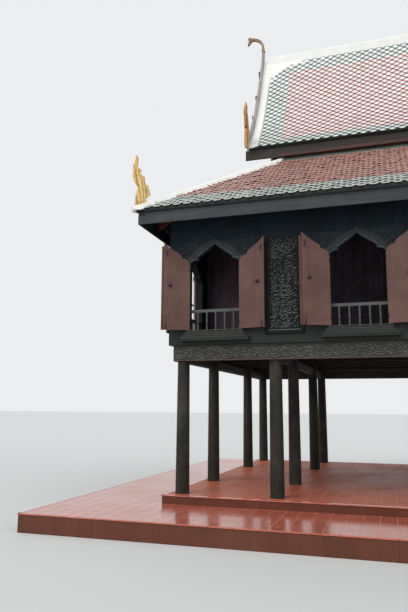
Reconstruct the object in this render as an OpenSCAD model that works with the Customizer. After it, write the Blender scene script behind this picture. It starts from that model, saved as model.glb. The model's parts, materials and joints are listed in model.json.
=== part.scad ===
// Stilt house: a timber house on round posts, with a hipped skirt roof and a steep upper roof,
// standing on a plinth of two steps. The origin is the centre of the plan at ground level,
// +X runs along the long front to the right and +Y runs to the back.

/* [Plinth] */
// Height of the lower step
lower_step = 305; // [150:5:450]
// Height of the upper step
upper_step = 155; // [80:5:300]
// Lower step past the end posts
lower_end_margin = 2140; // [1200:10:3000]
// Lower step past the front and back posts
lower_side_margin = 2030; // [1200:10:3000]
// Upper step past the end posts
upper_end_margin = 280; // [200:5:900]
// Upper step past the front and back posts
upper_side_margin = 325; // [200:5:900]
// Height of the nosing tiles
nosing_h = 35; // [20:1:60]
// How far the nosing tiles stand proud
nosing_out = 15; // [5:1:30]

/* [Posts and bays] */
// Post diameter at the foot
post_d = 262; // [230:2:340]
// Post diameter from the floor up
post_top_d = 226; // [180:2:230]
// End bay along the front
end_bay = 1790; // [1500:10:2400]
// Middle bay along the front
mid_bay = 3080; // [2600:10:3600]
// Number of middle bays
mid_bays = 2; // [2:1:3]
// Outer bay of the depth
side_bay = 2030; // [1700:10:2600]
// Middle bay of the depth
room_w = 3270; // [2800:10:3800]
// Plinth top to the underside of the sill beams
clear_h = 2437; // [1900:1:3000]

/* [Floor] */
// Height of the carved sill beams
sill_beam_h = 299; // [260:1:400]
// Thickness of the carved sill beams
sill_beam_t = 45; // [35:1:60]
// Width of the cross beams
cross_beam_w = 70; // [50:1:110]
// Height of the joists
joist_h = 95; // [70:1:120]
// Width of the joists
joist_w = 60; // [40:1:90]
// Joists in each bay of the depth
joists_per_bay = 3; // [2:1:5]
// Thickness of the floor boards
floor_t = 35; // [25:1:50]

/* [Walls] */
// Outer wall face past the post centres
wall_face = 230; // [225:1:260]
// Wall thickness
wall_t = 112; // [90:1:112]
// Wall height
wall_h = 2690; // [2500:5:3200]
// Height of the wall plate
plate_h = 120; // [80:1:180]

/* [Inner walls] */
// Thickness of the board walls of the middle room
inner_wall_t = 30; // [20:1:50]
// Width of the doorways of the middle room
door_w = 900; // [700:10:1100]
// Height of the doorways
door_h = 2000; // [1800:10:2200]

/* [Windows] */
// Corner posts of the long walls to the nearest window's middle
corner_window = 690; // [640:5:900]
// Opening width
window_w = 985; // [800:5:1100]
// Wall base to the window sill
window_sill_h = 264; // [240:1:500]
// Sill to the springing of the arch
jamb_h = 1270; // [1000:5:1400]
// Rise of the arch
arch_rise = 400; // [330:5:480]
// Width of the small outer lobe
lobe_w = 145; // [100:5:180]
// Height of the small outer lobe
lobe_h = 95; // [60:5:120]
// Width of the carved architrave
frame_w = 120; // [70:5:140]
// Rise of the architrave over the apex of the opening
frame_rise = 80; // [50:5:120]
// How far the architrave stands proud
frame_t = 25; // [15:1:35]
// Sill to the top of the hand rail
rail_h = 410; // [300:5:600]
// Height and depth of the hand rail
rail_t = 55; // [35:1:70]
// Balusters in each window
balusters = 5; // [3:1:7]
// Distance between balusters
baluster_pitch = 176; // [120:1:180]
// Largest baluster diameter
baluster_d = 44; // [30:1:60]

/* [Shutters] */
// Thickness of a leaf
leaf_t = 34; // [24:1:40]
// How far a leaf laps over the opening at the top
leaf_lap = 40; // [20:1:60]
// Gap under a leaf
leaf_gap = 15; // [5:1:30]
// Opening of the left leaf
left_open = 158; // [90:1:165]
// Opening of the right leaf
right_open = 168; // [90:1:168]
// Width of the cover strip on the left leaf
strip_w = 80; // [50:1:110]
// Thickness of the cover strip
strip_t = 12; // [8:1:20]

/* [Carved panels] */
// Width of a panel
panel_w = 560; // [400:5:600]
// Height of a panel
panel_h = 1760; // [1500:5:1900]
// Thickness of a panel
panel_t = 22; // [12:1:30]
// Width of the stiles beside a panel
stile_w = 80; // [50:5:100]
// Thickness of the stiles
stile_t = 30; // [20:1:40]
// Height of the ledge under a panel
ledge_h = 60; // [40:1:90]
// How far the ledge stands proud
ledge_t = 40; // [25:1:60]

/* [Lower roof] */
// Drip edge past the outer posts
drip_w = 747; // [650:1:1000]
// Depth of the rafters' notch over the wall plates
notch = 45; // [20:5:80]
// Rise of the long slopes for each unit of run
long_slope = 0.6745; // [0.62:0.005:0.75]
// Thickness of the tiles and battens
tile_t = 45; // [30:1:70]
// Height of the rafters, measured upright
rafter_v = 133; // [100:1:170]
// Width of the rafters
rafter_w = 60; // [40:1:80]
// Greatest distance between rafters
rafter_pitch = 640; // [400:10:900]
// Drip edge past the fascias
drip_over = 30; // [15:1:60]
// Thickness of the fascias
fascia_t = 25; // [18:1:40]
// Height of the lower fascia
lower_fascia_h = 265; // [180:5:320]
// Width of the stucco hip ridges
hip_cap_w = 250; // [200:5:320]
// Width of the roll on the hip ridges
hip_roll_w = 150; // [100:5:180]
// Height of the stucco hip ridges
hip_cap_h = 75; // [50:5:120]
// Depth of the free end of a hip band under the drip corner
hip_nose = 35; // [10:5:100]
// Width of the mortar fillet under the upper walls
flashing_w = 160; // [60:5:200]

/* [Upper roof] */
// Drip edge past the inner posts
upper_eave_w = 295; // [260:5:500]
// Drip edge over the top of the lower roof
eave_over = 345; // [300:5:600]
// Rise to the ridge for each unit of run
upper_slope = 1.7; // [1.4:0.02:1.8]
// Share of the rise that is straight, the rest is the sweep
straight_share = 0.58; // [0.45:0.01:0.9]
// Facets along one slope
roof_steps = 10; // [6:1:16]
// Verge past the end posts of the room
verge_over = 877; // [700:1:1000]
// Thickness of the upper tiles and battens
upper_tile_t = 45; // [30:1:70]
// Thickness of the upper side walls
clere_t = 45; // [30:1:60]
// Height of the upper fascia
upper_fascia_h = 245; // [160:5:280]
// Width of the stucco band on the verges
verge_cap_w = 190; // [120:5:260]
// Thickness of the stucco band on the verges
verge_cap_t = 40; // [25:1:60]
// Length along the ridge of the rounded plaster corner inside the verge band
corner_x = 920; // [500:10:1200]
// Height of the rounded plaster corner
corner_z = 800; // [400:10:1000]
// Thickness of the plaster corner
corner_t = 25; // [15:1:40]
// Width of the ridge cap at its foot
ridge_cap_w = 150; // [120:5:240]
// Height of the ridge cap over the ridge
ridge_cap_h = 130; // [60:5:180]

/* [Roof frame] */
// Width of the upper plates
upper_plate_w = 140; // [100:5:180]
// Height of the upper plates
upper_plate_h = 170; // [120:5:220]
// Purlins on each slope
purlins_per_slope = 3; // [2:1:3]
// Width of the purlins
purlin_w = 90; // [60:5:120]
// Height of the purlins
purlin_h = 110; // [80:5:150]
// Purlin ends past the bargeboards
purlin_out = 100; // [40:5:160]
// Width of the tie beams and trusses
truss_w = 100; // [70:5:120]
// Height of the tie beams
tie_h = 200; // [150:5:260]
// Height of the principal rafters
principal_h = 170; // [120:5:220]

/* [Gable trim] */
// Thickness of the bargeboards
barge_t = 50; // [35:1:70]
// Bargeboard above the tiles
barge_up = 135; // [90:5:180]
// Bargeboard below the tiles
barge_down = 190; // [140:5:240]
// Leaves along one bargeboard
barge_leaves = 26; // [16:1:34]
// Height of the leaves
leaf_h = 38; // [20:1:60]

/* [Finials] */
// Height of the hip finials
hip_finial_h = 1030; // [700:5:1200]
// Hip finials in from the drip corner
hip_finial_in = 110; // [60:5:200]
// Height of the upper eave finials
eave_finial_h = 950; // [700:5:1200]
// Height of the horned apex finials over the bargeboards
apex_finial_h = 470; // [300:5:700]
// Thickness of the finials
finial_t = 80; // [60:1:110]

/* [Hidden] */
$fn = 48;

// Plan and levels
len_x = 2 * end_bay + mid_bays * mid_bay;
len_y = 2 * side_bay + room_w;
room_x = mid_bays * mid_bay;
inner_xs = [for (i = [0:mid_bays]) -room_x / 2 + i * mid_bay];
post_xs = concat([-len_x / 2], inner_xs, [len_x / 2]);
inner_ys = [-room_w / 2, room_w / 2];
deck_z = lower_step + upper_step;
sill_z = deck_z + clear_h;
wall_z = sill_z + sill_beam_h;
plate_z = wall_z + wall_h;
plate_top = plate_z + plate_h;
window_z = wall_z + window_sill_h;

// Floor frame. fit is the play round a post and seam is the joint between boards that meet
fit = 2;
seam = 0.4;
post_r = post_top_d / 2;
sill_in = post_r + 1;
sill_out = sill_in + sill_beam_t;
wall_in = wall_face - wall_t;
plate_in = post_r / 4;
cross_h = sill_beam_h - floor_t - joist_h;
joist_z = sill_z + cross_h;
floor_z = joist_z + joist_h;

// Windows and shutters
half_w = window_w / 2;
window_xs = concat([corner_window - len_x / 2],
    [for (i = [0:mid_bays - 1]) -room_x / 2 + (i + 0.5) * mid_bay], [len_x / 2 - corner_window]);
window_ys = [-(room_w + side_bay) / 2, 0, (room_w + side_bay) / 2];
function midway(list) = [for (i = [1:len(list) - 1]) (list[i - 1] + list[i]) / 2];
main_lobe = [200, 130];
main_sweep = 50;
ogee_sag = 12;
frame_bulge = 60;
hinge_r = 18;
hinge_out = frame_t + hinge_r + fit;
hinge_u = half_w + 5;
leaf_w = hinge_u - 2;
// Each sill step: depth below the sill, projection from the wall and length past the opening
sill_steps = [[50, 72, 60], [90, 80, 90], [130, 90, 125], [200, 105, 170]];
panel_low = -40;

// Lower roof: w is measured outwards from the outer post centres
clere_off = post_r + clere_t;
end_in = end_bay - clere_off;
side_in = side_bay - clere_off;
low_rise = long_slope * (drip_w + side_in);
tile_v = tile_t * sqrt(1 + long_slope * long_slope);
drip_z = plate_top - notch + rafter_v + tile_v - long_slope * (drip_w - wall_face);
end_slope = low_rise / (drip_w + end_in);
top_z = drip_z + low_rise;
fascia_w = drip_w - drip_over;
rafter_end = fascia_w - fascia_t;
fascia_top = drip_z + long_slope * (drip_w - fascia_w) - tile_v;
fascia_z = fascia_top - lower_fascia_h;
hip_x = len_x / 2 - end_in;
hip_y = len_y / 2 - side_in;
hip_foot_x = len_x / 2 + drip_w;
hip_foot_y = len_y / 2 + drip_w;
hip_run = norm([hip_foot_x - hip_x, hip_foot_y - hip_y]);
hip_angle = atan2(hip_foot_y - hip_y, hip_foot_x - hip_x);
hip_tilt = atan2(low_rise, hip_run);
clere_drop = 60;
clere_z = top_z - tile_v - rafter_v - clere_drop;
past_drip = 300;
big = 20000;

// Upper roof: v is measured outwards from the ridge line
eave_v = room_w / 2 + upper_eave_w;
eave_z = top_z + eave_over;
upper_rise = upper_slope * eave_v;
ridge_z = eave_z + upper_rise;
verge_x = room_x / 2 + verge_over;
barge_x = verge_x + barge_t;
function rise_at(t) = upper_rise * (straight_share * t + (1 - straight_share) * t * t);
function tilt_at(t) = atan(upper_rise * (straight_share + 2 * (1 - straight_share) * t) / eave_v);
// Point on the slope at share t of the run, o off the tiles
function slope_pt(t, o) = [
    eave_v * (1 - t) + o * sin(tilt_at(t)),
    eave_z + rise_at(t) + o * cos(tilt_at(t))
];
function share_at(v) = 1 - v / eave_v;
function under_z(v) = eave_z + rise_at(share_at(v)) - upper_tile_t / cos(tilt_at(share_at(v)));
function slope_line(o, from, to, n) = [for (i = [0:n]) slope_pt(from + (to - from) * i / n, o)];
function reversed(list) = [for (i = [len(list) - 1:-1:0]) list[i]];
past_ridge = 1.12;
upper_fascia_out = 35;
upper_fascia_v = slope_pt(0, -upper_tile_t)[0];
upper_fascia_top = slope_pt(0, -upper_tile_t)[1];
upper_plate_seat = 50;
upper_plate_top = under_z(room_w / 2 + upper_plate_w / 2) + upper_plate_seat;
upper_plate_z = upper_plate_top - upper_plate_h;
tie_gap = 60;
tie_z = upper_plate_z - tie_gap - tie_h;
gable_half = hip_y - clere_t - seam;
first_purlin = 0.31;
purlin_step = 0.205;
purlin_ts = [for (i = [0:purlins_per_slope - 1]) first_purlin + i * purlin_step];
ridge_beam_h = 200;
ridge_beam_w = 110;
ridge_beam_z = under_z(ridge_beam_w / 2) - ridge_beam_h;

// Placing: a profile drawn as (w, z) is run along a side, centred
module back_side() translate([0, len_y / 2, 0]) rotate([90, 0, 90]) children();
module front_side() mirror([0, 1, 0]) back_side() children();
module right_side() translate([len_x / 2, 0, 0]) rotate([90, 0, 0]) children();
module left_side() mirror([1, 0, 0]) right_side() children();
module long_sides() { front_side() children(); back_side() children(); }
module end_sides() { left_side() children(); right_side() children(); }
// A profile drawn as (v, z) is run along the ridge
module ridge_run(length) rotate([90, 0, 90]) linear_extrude(length, center = true) children();
module both_slopes() { children(); mirror([0, 1, 0]) children(); }
module both_ends() { children(); mirror([1, 0, 0]) children(); }
module four_corners() both_slopes() both_ends() children();
// Side 0 is the front, 1 the right end, 2 the back and 3 the left end
module on_wall(side, u, z) {
    reach = (side % 2 == 0 ? len_y : len_x) / 2 + wall_face;
    rotate([0, 0, 90 * side]) translate([u, -reach, z]) children();
}
module each_window() {
    for (side = [0:3]) {
        for (u = side % 2 == 0 ? window_xs : window_ys) on_wall(side, u, window_z) children();
    }
}
module each_panel() {
    for (side = [0:3]) {
        for (u = midway(side % 2 == 0 ? window_xs : window_ys)) on_wall(side, u, window_z + panel_low) children();
    }
}
module box(low, high) translate(low) cube(high - low);

// Plinth of two solid steps, each with a nosing at its top edge
module plinth_step(end_margin, side_margin, low, high) {
    x = len_x / 2 + end_margin;
    y = len_y / 2 + side_margin;
    box([-x, -y, low], [x, y, high]);
    box([-x - nosing_out, -y - nosing_out, high - nosing_h], [x + nosing_out, y + nosing_out, high]);
}
module lower_plinth() color("indianred") plinth_step(lower_end_margin, lower_side_margin, 0, lower_step);
module upper_plinth() color("firebrick") plinth_step(upper_end_margin, upper_side_margin, lower_step, deck_z);

// Round posts: a taper up to the floor and a straight shaft above it
module post(top) {
    translate([0, 0, deck_z]) cylinder(h = clear_h, d1 = post_d, d2 = post_top_d);
    translate([0, 0, sill_z]) cylinder(h = top - sill_z, d = post_top_d);
}
module outer_posts() color("darkolivegreen") difference() {
    union() {
        for (x = post_xs, y = [-len_y / 2, len_y / 2]) translate([x, y, 0]) post(plate_z);
        for (x = [-len_x / 2, len_x / 2], y = inner_ys) translate([x, y, 0]) post(plate_z);
    }
    cross_beam_set();
}
module inner_posts() color("darkolivegreen") difference() {
    for (x = inner_xs, y = inner_ys) translate([x, y, 0]) post(upper_plate_z);
    cross_beam_set();
    tie_beam_set();
}

// Cross beams tenoned through the posts, joists on them and boards on the joists
module cross_beam_set() {
    for (x = post_xs) {
        translate([x, 0, sill_z + cross_h / 2])
            cube([cross_beam_w, len_y + 2 * sill_in, cross_h], center = true);
    }
}
module cross_beams() color("dimgray") cross_beam_set();
module joist_row(mid, width) {
    for (i = [1:joists_per_bay]) {
        y = mid + width * (i / (joists_per_bay + 1) - 0.5);
        translate([0, y, joist_z + joist_h / 2])
            cube([len_x + 2 * sill_in, joist_w, joist_h], center = true);
    }
}
module floor_joists() color("dimgray") {
    joist_row(0, room_w);
    joist_row((len_y - side_bay) / 2, side_bay);
    joist_row(-(len_y - side_bay) / 2, side_bay);
}
module floor_boards() color("saddlebrown") difference() {
    translate([0, 0, floor_z + floor_t / 2])
        cube([len_x + 2 * sill_in, len_y + 2 * sill_in, floor_t], center = true);
    for (x = post_xs, y = concat([-len_y / 2, len_y / 2], inner_ys)) {
        translate([x, y, floor_z - 1]) cylinder(h = floor_t + 2, d = post_top_d + 2 * fit);
    }
    for (x = [-len_x / 2, len_x / 2], y = [-len_y / 2, len_y / 2]) translate([x, y, floor_z + floor_t / 2])
        cube([2 * sill_in + fit, 2 * sill_in + fit, 2 * floor_t], center = true);
}

// Carved beams round the edge of the floor
module long_sill_beams() color("dimgray") long_sides() {
    linear_extrude(len_x + 2 * sill_out, center = true)
        translate([sill_in, sill_z]) square([sill_beam_t, sill_beam_h]);
}
module end_sill_beams() color("dimgray") end_sides() {
    linear_extrude(len_y + 2 * sill_in, center = true)
        translate([sill_in, sill_z]) square([sill_beam_t, sill_beam_h]);
}

// Half of the window opening, from the jamb foot to the apex
function ellipse_arc(c, r, from, to, n) = [
    for (i = [0:n]) let (a = from + (to - from) * i / n) [c[0] + r[0] * cos(a), c[1] + r[1] * sin(a)]
];
function ogee(a, b, sag, n) = [
    for (i = [1:n]) let (s = i / n, d = b - a, l = norm(d), k = 4 * sag * s * (1 - s) / l)
        [a[0] + s * d[0] + k * d[1], a[1] + s * d[1] - k * d[0]]
];
lobe_arc = ellipse_arc([half_w - lobe_w, jamb_h], [lobe_w, lobe_h], 0, 90, 5);
main_arc = ellipse_arc([half_w - lobe_w - main_lobe[0], jamb_h + lobe_h], main_lobe, 0, main_sweep, 4);
arch_half = concat([[half_w, 0]], lobe_arc, main_arc,
    ogee(main_arc[len(main_arc) - 1], [0, jamb_h + arch_rise], -ogee_sag, 4));
outer_half_w = half_w + frame_w;
shoulder = ellipse_arc([outer_half_w - 260, jamb_h + 20], [260, 210], 0, 55, 5);
frame_half = concat([[outer_half_w, 0]], shoulder,
    ogee(shoulder[len(shoulder) - 1], [0, jamb_h + arch_rise + frame_rise], frame_bulge, 5));
function both_halves(half) = concat(half, [for (p = reversed(half)) if (p[0] > 0) [-p[0], p[1]]]);
module arch_shape() polygon(both_halves(arch_half));
module upright(depth) rotate([90, 0, 0]) linear_extrude(depth, center = true) children();

// Walls with the window openings cut through them
module long_wall(side) difference() {
    on_wall(side, 0, wall_z) translate([-len_x / 2 - wall_face, 0, 0])
        cube([len_x + 2 * wall_face, wall_t, wall_h]);
    for (u = window_xs) on_wall(side, u, window_z) translate([0, wall_t / 2, 0])
        upright(2 * wall_t) arch_shape();
}
module end_wall(side) difference() {
    on_wall(side, 0, wall_z) translate([-len_y / 2 - wall_in, 0, 0])
        cube([len_y + 2 * wall_in, wall_t, wall_h]);
    for (u = window_ys) on_wall(side, u, window_z) translate([0, wall_t / 2, 0])
        upright(2 * wall_t) arch_shape();
}
module front_wall() color("darkslategray") long_wall(0);
module right_wall() color("darkslategray") end_wall(1);
module back_wall() color("darkslategray") long_wall(2);
module left_wall() color("darkslategray") end_wall(3);

// Board walls of the middle room, on the gallery side of the inner posts, each with a doorway
module inner_walls() color("sienna") for (turn = [0, 180]) rotate([0, 0, turn]) {
    face = -room_w / 2 - post_r - fit;
    end = len_x / 2 + wall_in;
    door_x = (room_x - mid_bay) / 2;
    difference() {
        box([-end, face - inner_wall_t, wall_z], [end, face, plate_z]);
        box([door_x - door_w / 2, face - 2 * inner_wall_t, wall_z - 1],
            [door_x + door_w / 2, face + inner_wall_t, wall_z + door_h]);
    }
}

// Scalloped architrave, stepped sill and turned balustrade of a window
module window_frames() color("slategray") each_window() {
    translate([0, -frame_t / 2, 0]) upright(frame_t) difference() {
        polygon(both_halves(frame_half));
        arch_shape();
    }
}
module window_sills() color("slategray") each_window() {
    for (i = [0:len(sill_steps) - 1]) {
        step = sill_steps[i];
        above = i == 0 ? 0 : sill_steps[i - 1][0];
        reach = half_w + step[2];
        translate([-reach, -step[1], -step[0]]) cube([2 * reach, step[1], step[0] - above]);
    }
}
// Turned profile: share of the largest radius against share of the height
turning = [
    [1, 0], [1, 0.1], [0.62, 0.13], [0.85, 0.2], [0.62, 0.27], [0.5, 0.36], [0.92, 0.52],
    [0.62, 0.68], [0.85, 0.75], [0.62, 0.82], [0.8, 0.88], [1, 0.92], [1, 1]
];
module baluster(h) {
    rotate_extrude($fn = 16) polygon(concat([[0, 0]],
        [for (p = turning) [p[0] * baluster_d / 2, p[1] * h]], [[0, h]]));
}
module window_balustrades() color("dimgray") each_window() {
    translate([-half_w, wall_t / 2 - rail_t / 2, rail_h - rail_t]) cube([window_w, rail_t, rail_t]);
    for (i = [0:balusters - 1]) {
        translate([(i - (balusters - 1) / 2) * baluster_pitch, wall_t / 2, 0]) baluster(rail_h - rail_t);
    }
}

// Shutter leaves, turned on a round stile that stands on the sill
leaf_top = [for (p = arch_half) if (p[1] > 0) [hinge_u - p[0], p[1] + leaf_lap]];
module leaf() {
    upright(leaf_t) polygon(concat([[0, leaf_gap]], [[0, jamb_h + leaf_lap]],
        [for (p = leaf_top) if (p[0] < leaf_w) p], [[leaf_w, leaf_top[len(leaf_top) - 1][1]]],
        [[leaf_w, leaf_gap]]));
    cylinder(h = jamb_h, r = hinge_r, $fn = 24);
}
module cover_strip() {
    strip_top = jamb_h + arch_rise + leaf_lap - strip_w;
    translate([leaf_w - strip_w / 2, leaf_t / 2, leaf_gap]) cube([strip_w, strip_t, strip_top]);
}
module left_shutters() color("indianred") each_window() {
    translate([-hinge_u, -hinge_out, 0]) rotate([0, 0, -left_open]) {
        leaf();
        mirror([0, 1, 0]) cover_strip();
    }
}
module right_shutters() color("indianred") each_window() {
    mirror([1, 0, 0]) translate([-hinge_u, -hinge_out, 0]) rotate([0, 0, -right_open]) leaf();
}

// Carved panels between the windows, each between two stiles and on its ledge
module carved_panels() color("gray") each_panel() {
    translate([-panel_w / 2, -panel_t, 0]) cube([panel_w, panel_t, panel_h]);
    for (m = [0, 1]) mirror([m, 0, 0]) translate([panel_w / 2, -stile_t, 0]) cube([stile_w, stile_t, panel_h]);
    reach = panel_w / 2 + stile_w;
    translate([-reach, -ledge_t, -ledge_h]) cube([2 * reach, ledge_t, ledge_h]);
}

// Wall plates on the walls and the heads of the outer posts
module wall_plates() color("dimgray") {
    long_sides() linear_extrude(len_x + 2 * wall_face, center = true)
        translate([plate_in, plate_z]) square([wall_face - plate_in, plate_h]);
    end_sides() linear_extrude(len_y + 2 * (plate_in - seam), center = true)
        translate([plate_in, plate_z]) square([wall_face - plate_in, plate_h]);
}

// Lower roof profiles, as (w, z)
module tile_profile(slope, inner) {
    polygon([
        [drip_w, drip_z], [-inner, top_z], [-inner, top_z - tile_v], [drip_w, drip_z - tile_v]
    ]);
}
module rafter_profile(slope, inner) {
    low = drip_z + slope * (drip_w - rafter_end) - tile_v;
    difference() {
        polygon([
            [rafter_end, low], [-inner, top_z - tile_v],
            [-inner, top_z - tile_v - rafter_v], [rafter_end, low - rafter_v]
        ]);
        translate([plate_in, 0]) square([wall_face - plate_in, plate_top]);
    }
}
module long_region() {
    for (m = [0, 1]) mirror([0, m]) polygon([
        [-hip_foot_x, -hip_foot_y], [hip_foot_x, -hip_foot_y], [hip_x, -hip_y], [-hip_x, -hip_y]
    ]);
}
module end_region() {
    for (m = [0, 1]) mirror([m, 0]) polygon([
        [hip_foot_x, -hip_foot_y], [hip_foot_x, hip_foot_y], [hip_x, hip_y], [hip_x, -hip_y]
    ]);
}
module long_tiles() intersection() {
    back_side() linear_extrude(2 * hip_foot_x, center = true) tile_profile(long_slope, side_in);
    linear_extrude(big) long_region();
}
module end_tiles() intersection() {
    right_side() linear_extrude(2 * hip_foot_y, center = true) tile_profile(end_slope, end_in);
    linear_extrude(big) end_region();
}
module lower_roof_back() color("rosybrown") long_tiles();
module lower_roof_front() color("rosybrown") mirror([0, 1, 0]) long_tiles();
module lower_roof_right() color("rosybrown") end_tiles();
module lower_roof_left() color("rosybrown") mirror([1, 0, 0]) end_tiles();

// Hip rafters as planks on edge, cut over the plates, and the common and jack rafters
module hip_plank() {
    tail = (drip_w - rafter_end) / sin(hip_angle);
    translate([hip_foot_x, hip_foot_y, 0]) rotate([0, 0, hip_angle]) rotate([90, 0, 0])
        linear_extrude(rafter_w, center = true) polygon([
            [-tail, drip_z + low_rise * tail / hip_run - tile_v],
            [-hip_run, top_z - tile_v],
            [-hip_run, top_z - tile_v - rafter_v],
            [-tail, drip_z + low_rise * tail / hip_run - tile_v - rafter_v]
        ]);
}
module plate_ring() {
    out = wall_face;
    difference() {
        box([-len_x / 2 - out, -len_y / 2 - out, plate_z], [len_x / 2 + out, len_y / 2 + out, plate_top]);
        box([-len_x / 2 - plate_in, -len_y / 2 - plate_in, plate_z - 1],
            [len_x / 2 + plate_in, len_y / 2 + plate_in, plate_top + 1]);
    }
}
module hip_under_roof() {
    intersection() {
        hip_plank();
        back_side() linear_extrude(2 * hip_foot_x, center = true) under_tiles(long_slope, side_in);
        right_side() linear_extrude(2 * hip_foot_y, center = true) under_tiles(end_slope, end_in);
    }
}
module under_tiles(slope, inner) {
    polygon([
        [rafter_end, 0], [rafter_end, drip_z + slope * (drip_w - rafter_end) - tile_v],
        [-inner, top_z - tile_v], [-inner, 0]
    ]);
}
module hip_rafters() color("sienna") four_corners() difference() {
    hip_under_roof();
    plate_ring();
}
module rafter_row(length) {
    n = floor(length / rafter_pitch);
    for (i = [0:n]) {
        translate([0, 0, (i - n / 2) * length / n]) linear_extrude(rafter_w, center = true) children();
    }
}
module lower_rafters() color("sienna") difference() {
    union() {
        intersection() {
            long_sides() rafter_row(len_x + drip_w) rafter_profile(long_slope, side_in);
            linear_extrude(big) long_region();
        }
        intersection() {
            end_sides() rafter_row(len_y + drip_w) rafter_profile(end_slope, end_in);
            linear_extrude(big) end_region();
        }
    }
    four_corners() translate([hip_foot_x, hip_foot_y, 0]) rotate([0, 0, hip_angle])
        translate([-hip_run - rafter_w, -rafter_w / 2 - fit, 0])
            cube([hip_run + 2 * rafter_w, rafter_w + 2 * fit, big]);
}

// Fascias, stucco hip ridges and the mortar fillet at the foot of the upper walls
module fascia_profile(height) {
    set_back = fascia_t / 2;
    square([fascia_t, height * 0.64]);
    square([fascia_t - set_back, height]);
}
module lower_fascias() color("black") {
    long_sides() linear_extrude(len_x + 2 * fascia_w, center = true)
        translate([rafter_end, fascia_z]) fascia_profile(lower_fascia_h);
    end_sides() linear_extrude(len_y + 2 * (rafter_end - seam), center = true)
        translate([rafter_end, fascia_z]) fascia_profile(lower_fascia_h);
}
// Half of the hip ridge in section: a flat band on the tiles and a round roll over the hip
hip_half = concat(
    [[hip_cap_w / 2, -hip_cap_w / 2], [hip_cap_w / 2, -hip_cap_w * 0.11], [hip_roll_w / 2, 0]],
    ellipse_arc([0, 0], [hip_roll_w / 2, hip_cap_h], 15, 90, 5)
);
module hip_bar() {
    length = hip_run / cos(hip_tilt) + hip_cap_w;
    translate([hip_foot_x, hip_foot_y, drip_z]) rotate([0, 0, hip_angle]) rotate([0, hip_tilt, 0])
        translate([-length, 0, 0]) rotate([90, 0, 90]) linear_extrude(length + hip_roll_w / 2)
            polygon(both_halves(hip_half));
}
module hip_ridges() color("whitesmoke") four_corners() difference() {
    hip_bar();
    below_roof();
    box([-len_x, -len_y, 0], [len_x, len_y, drip_z - hip_nose]);
    box([-hip_x, -hip_y, 0], [hip_x, hip_y, big]);
}
// All that lies under the plane of a slope, from past its drip edge to reach behind the posts
module under_plane(slope, reach) polygon([
    [drip_w + past_drip, drip_z - past_drip * slope], [-reach, drip_z + slope * (drip_w + reach)],
    [-reach, 0], [drip_w + past_drip, 0]
]);
module below_roof() {
    intersection() {
        back_side() linear_extrude(4 * hip_foot_x, center = true) under_plane(long_slope, len_y / 2);
        right_side() linear_extrude(4 * hip_foot_y, center = true) under_plane(end_slope, len_x / 2);
    }
}
module flashing_profile(slope, inner) polygon([
    [-inner, top_z], [flashing_w - inner, top_z - flashing_w * slope], [-inner, top_z + flashing_w / 2]
]);
module roof_flashing() color("darkseagreen") difference() {
    union() {
        long_sides() linear_extrude(2 * hip_x, center = true) flashing_profile(long_slope, side_in);
        end_sides() linear_extrude(2 * hip_y, center = true) flashing_profile(end_slope, end_in);
    }
    four_corners() hip_bar();
}

// Upper roof profiles, as (v, z)
module one_slope() intersection() {
    children();
    translate([seam / 2, 0]) square([2 * eave_v, big]);
}
module slope_band(low, high, from, to) one_slope() polygon(concat(
    slope_line(high, from, to, roof_steps), reversed(slope_line(low, from, to, roof_steps))
));
module upper_tile_profile() slope_band(-upper_tile_t, 0, 0, past_ridge);
// All that lies under a line at o off the tiles of both slopes
module below_line(o) polygon(concat(
    slope_line(o, 0, past_ridge, roof_steps), [[-2 * eave_v, big], [-2 * eave_v, 0], [2 * eave_v, 0]]
));
module under_roof(o) intersection() {
    below_line(o);
    mirror([1, 0]) below_line(o);
}
module upper_roof_back() color("darkseagreen") ridge_run(2 * verge_x) upper_tile_profile();
module upper_roof_front() color("darkseagreen") mirror([0, 1, 0]) upper_roof_back();

module purlin_profile(t) {
    p = slope_pt(t, -upper_tile_t);
    difference() {
        translate(p) rotate(-tilt_at(t)) translate([-purlin_w / 2, -purlin_h]) square([purlin_w, purlin_h + 15]);
        upper_tile_profile();
    }
}
module purlin_profiles() {
    for (t = purlin_ts) purlin_profile(t);
}
module purlins() color("dimgray") both_slopes() {
    ridge_run(2 * (barge_x + purlin_out)) difference() {
        purlin_profiles();
        slope_band(0, 60, 0, past_ridge);
    }
}
module ridge_beam_profile() translate([-ridge_beam_w / 2, ridge_beam_z]) square([ridge_beam_w, ridge_beam_h]);
module ridge_beam() color("dimgray") ridge_run(2 * (barge_x + purlin_out)) ridge_beam_profile();

// Walls above the lower roof
module upper_side_walls() color("sienna") both_slopes() {
    ridge_run(2 * hip_x) intersection() {
        translate([hip_y - clere_t, clere_z]) square([clere_t, big]);
        under_roof(-upper_tile_t);
    }
}
module gable_walls() color("sienna") both_ends() {
    translate([hip_x - clere_t / 2, 0, 0]) ridge_run(clere_t) difference() {
        intersection() {
            translate([-gable_half, clere_z]) square([2 * gable_half, big]);
            under_roof(-upper_tile_t);
        }
        for (m = [0, 1]) mirror([m, 0]) {
            purlin_profiles();
            plate_profile();
        }
        translate([-ridge_beam_w / 2, ridge_beam_z]) square([ridge_beam_w, big]);
    }
}
module plate_profile() intersection() {
    translate([room_w / 2 - upper_plate_w / 2, upper_plate_z]) square([upper_plate_w, upper_plate_h]);
    under_roof(-upper_tile_t);
}
module upper_plates() color("dimgray") both_slopes() ridge_run(2 * verge_x) plate_profile();

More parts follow.
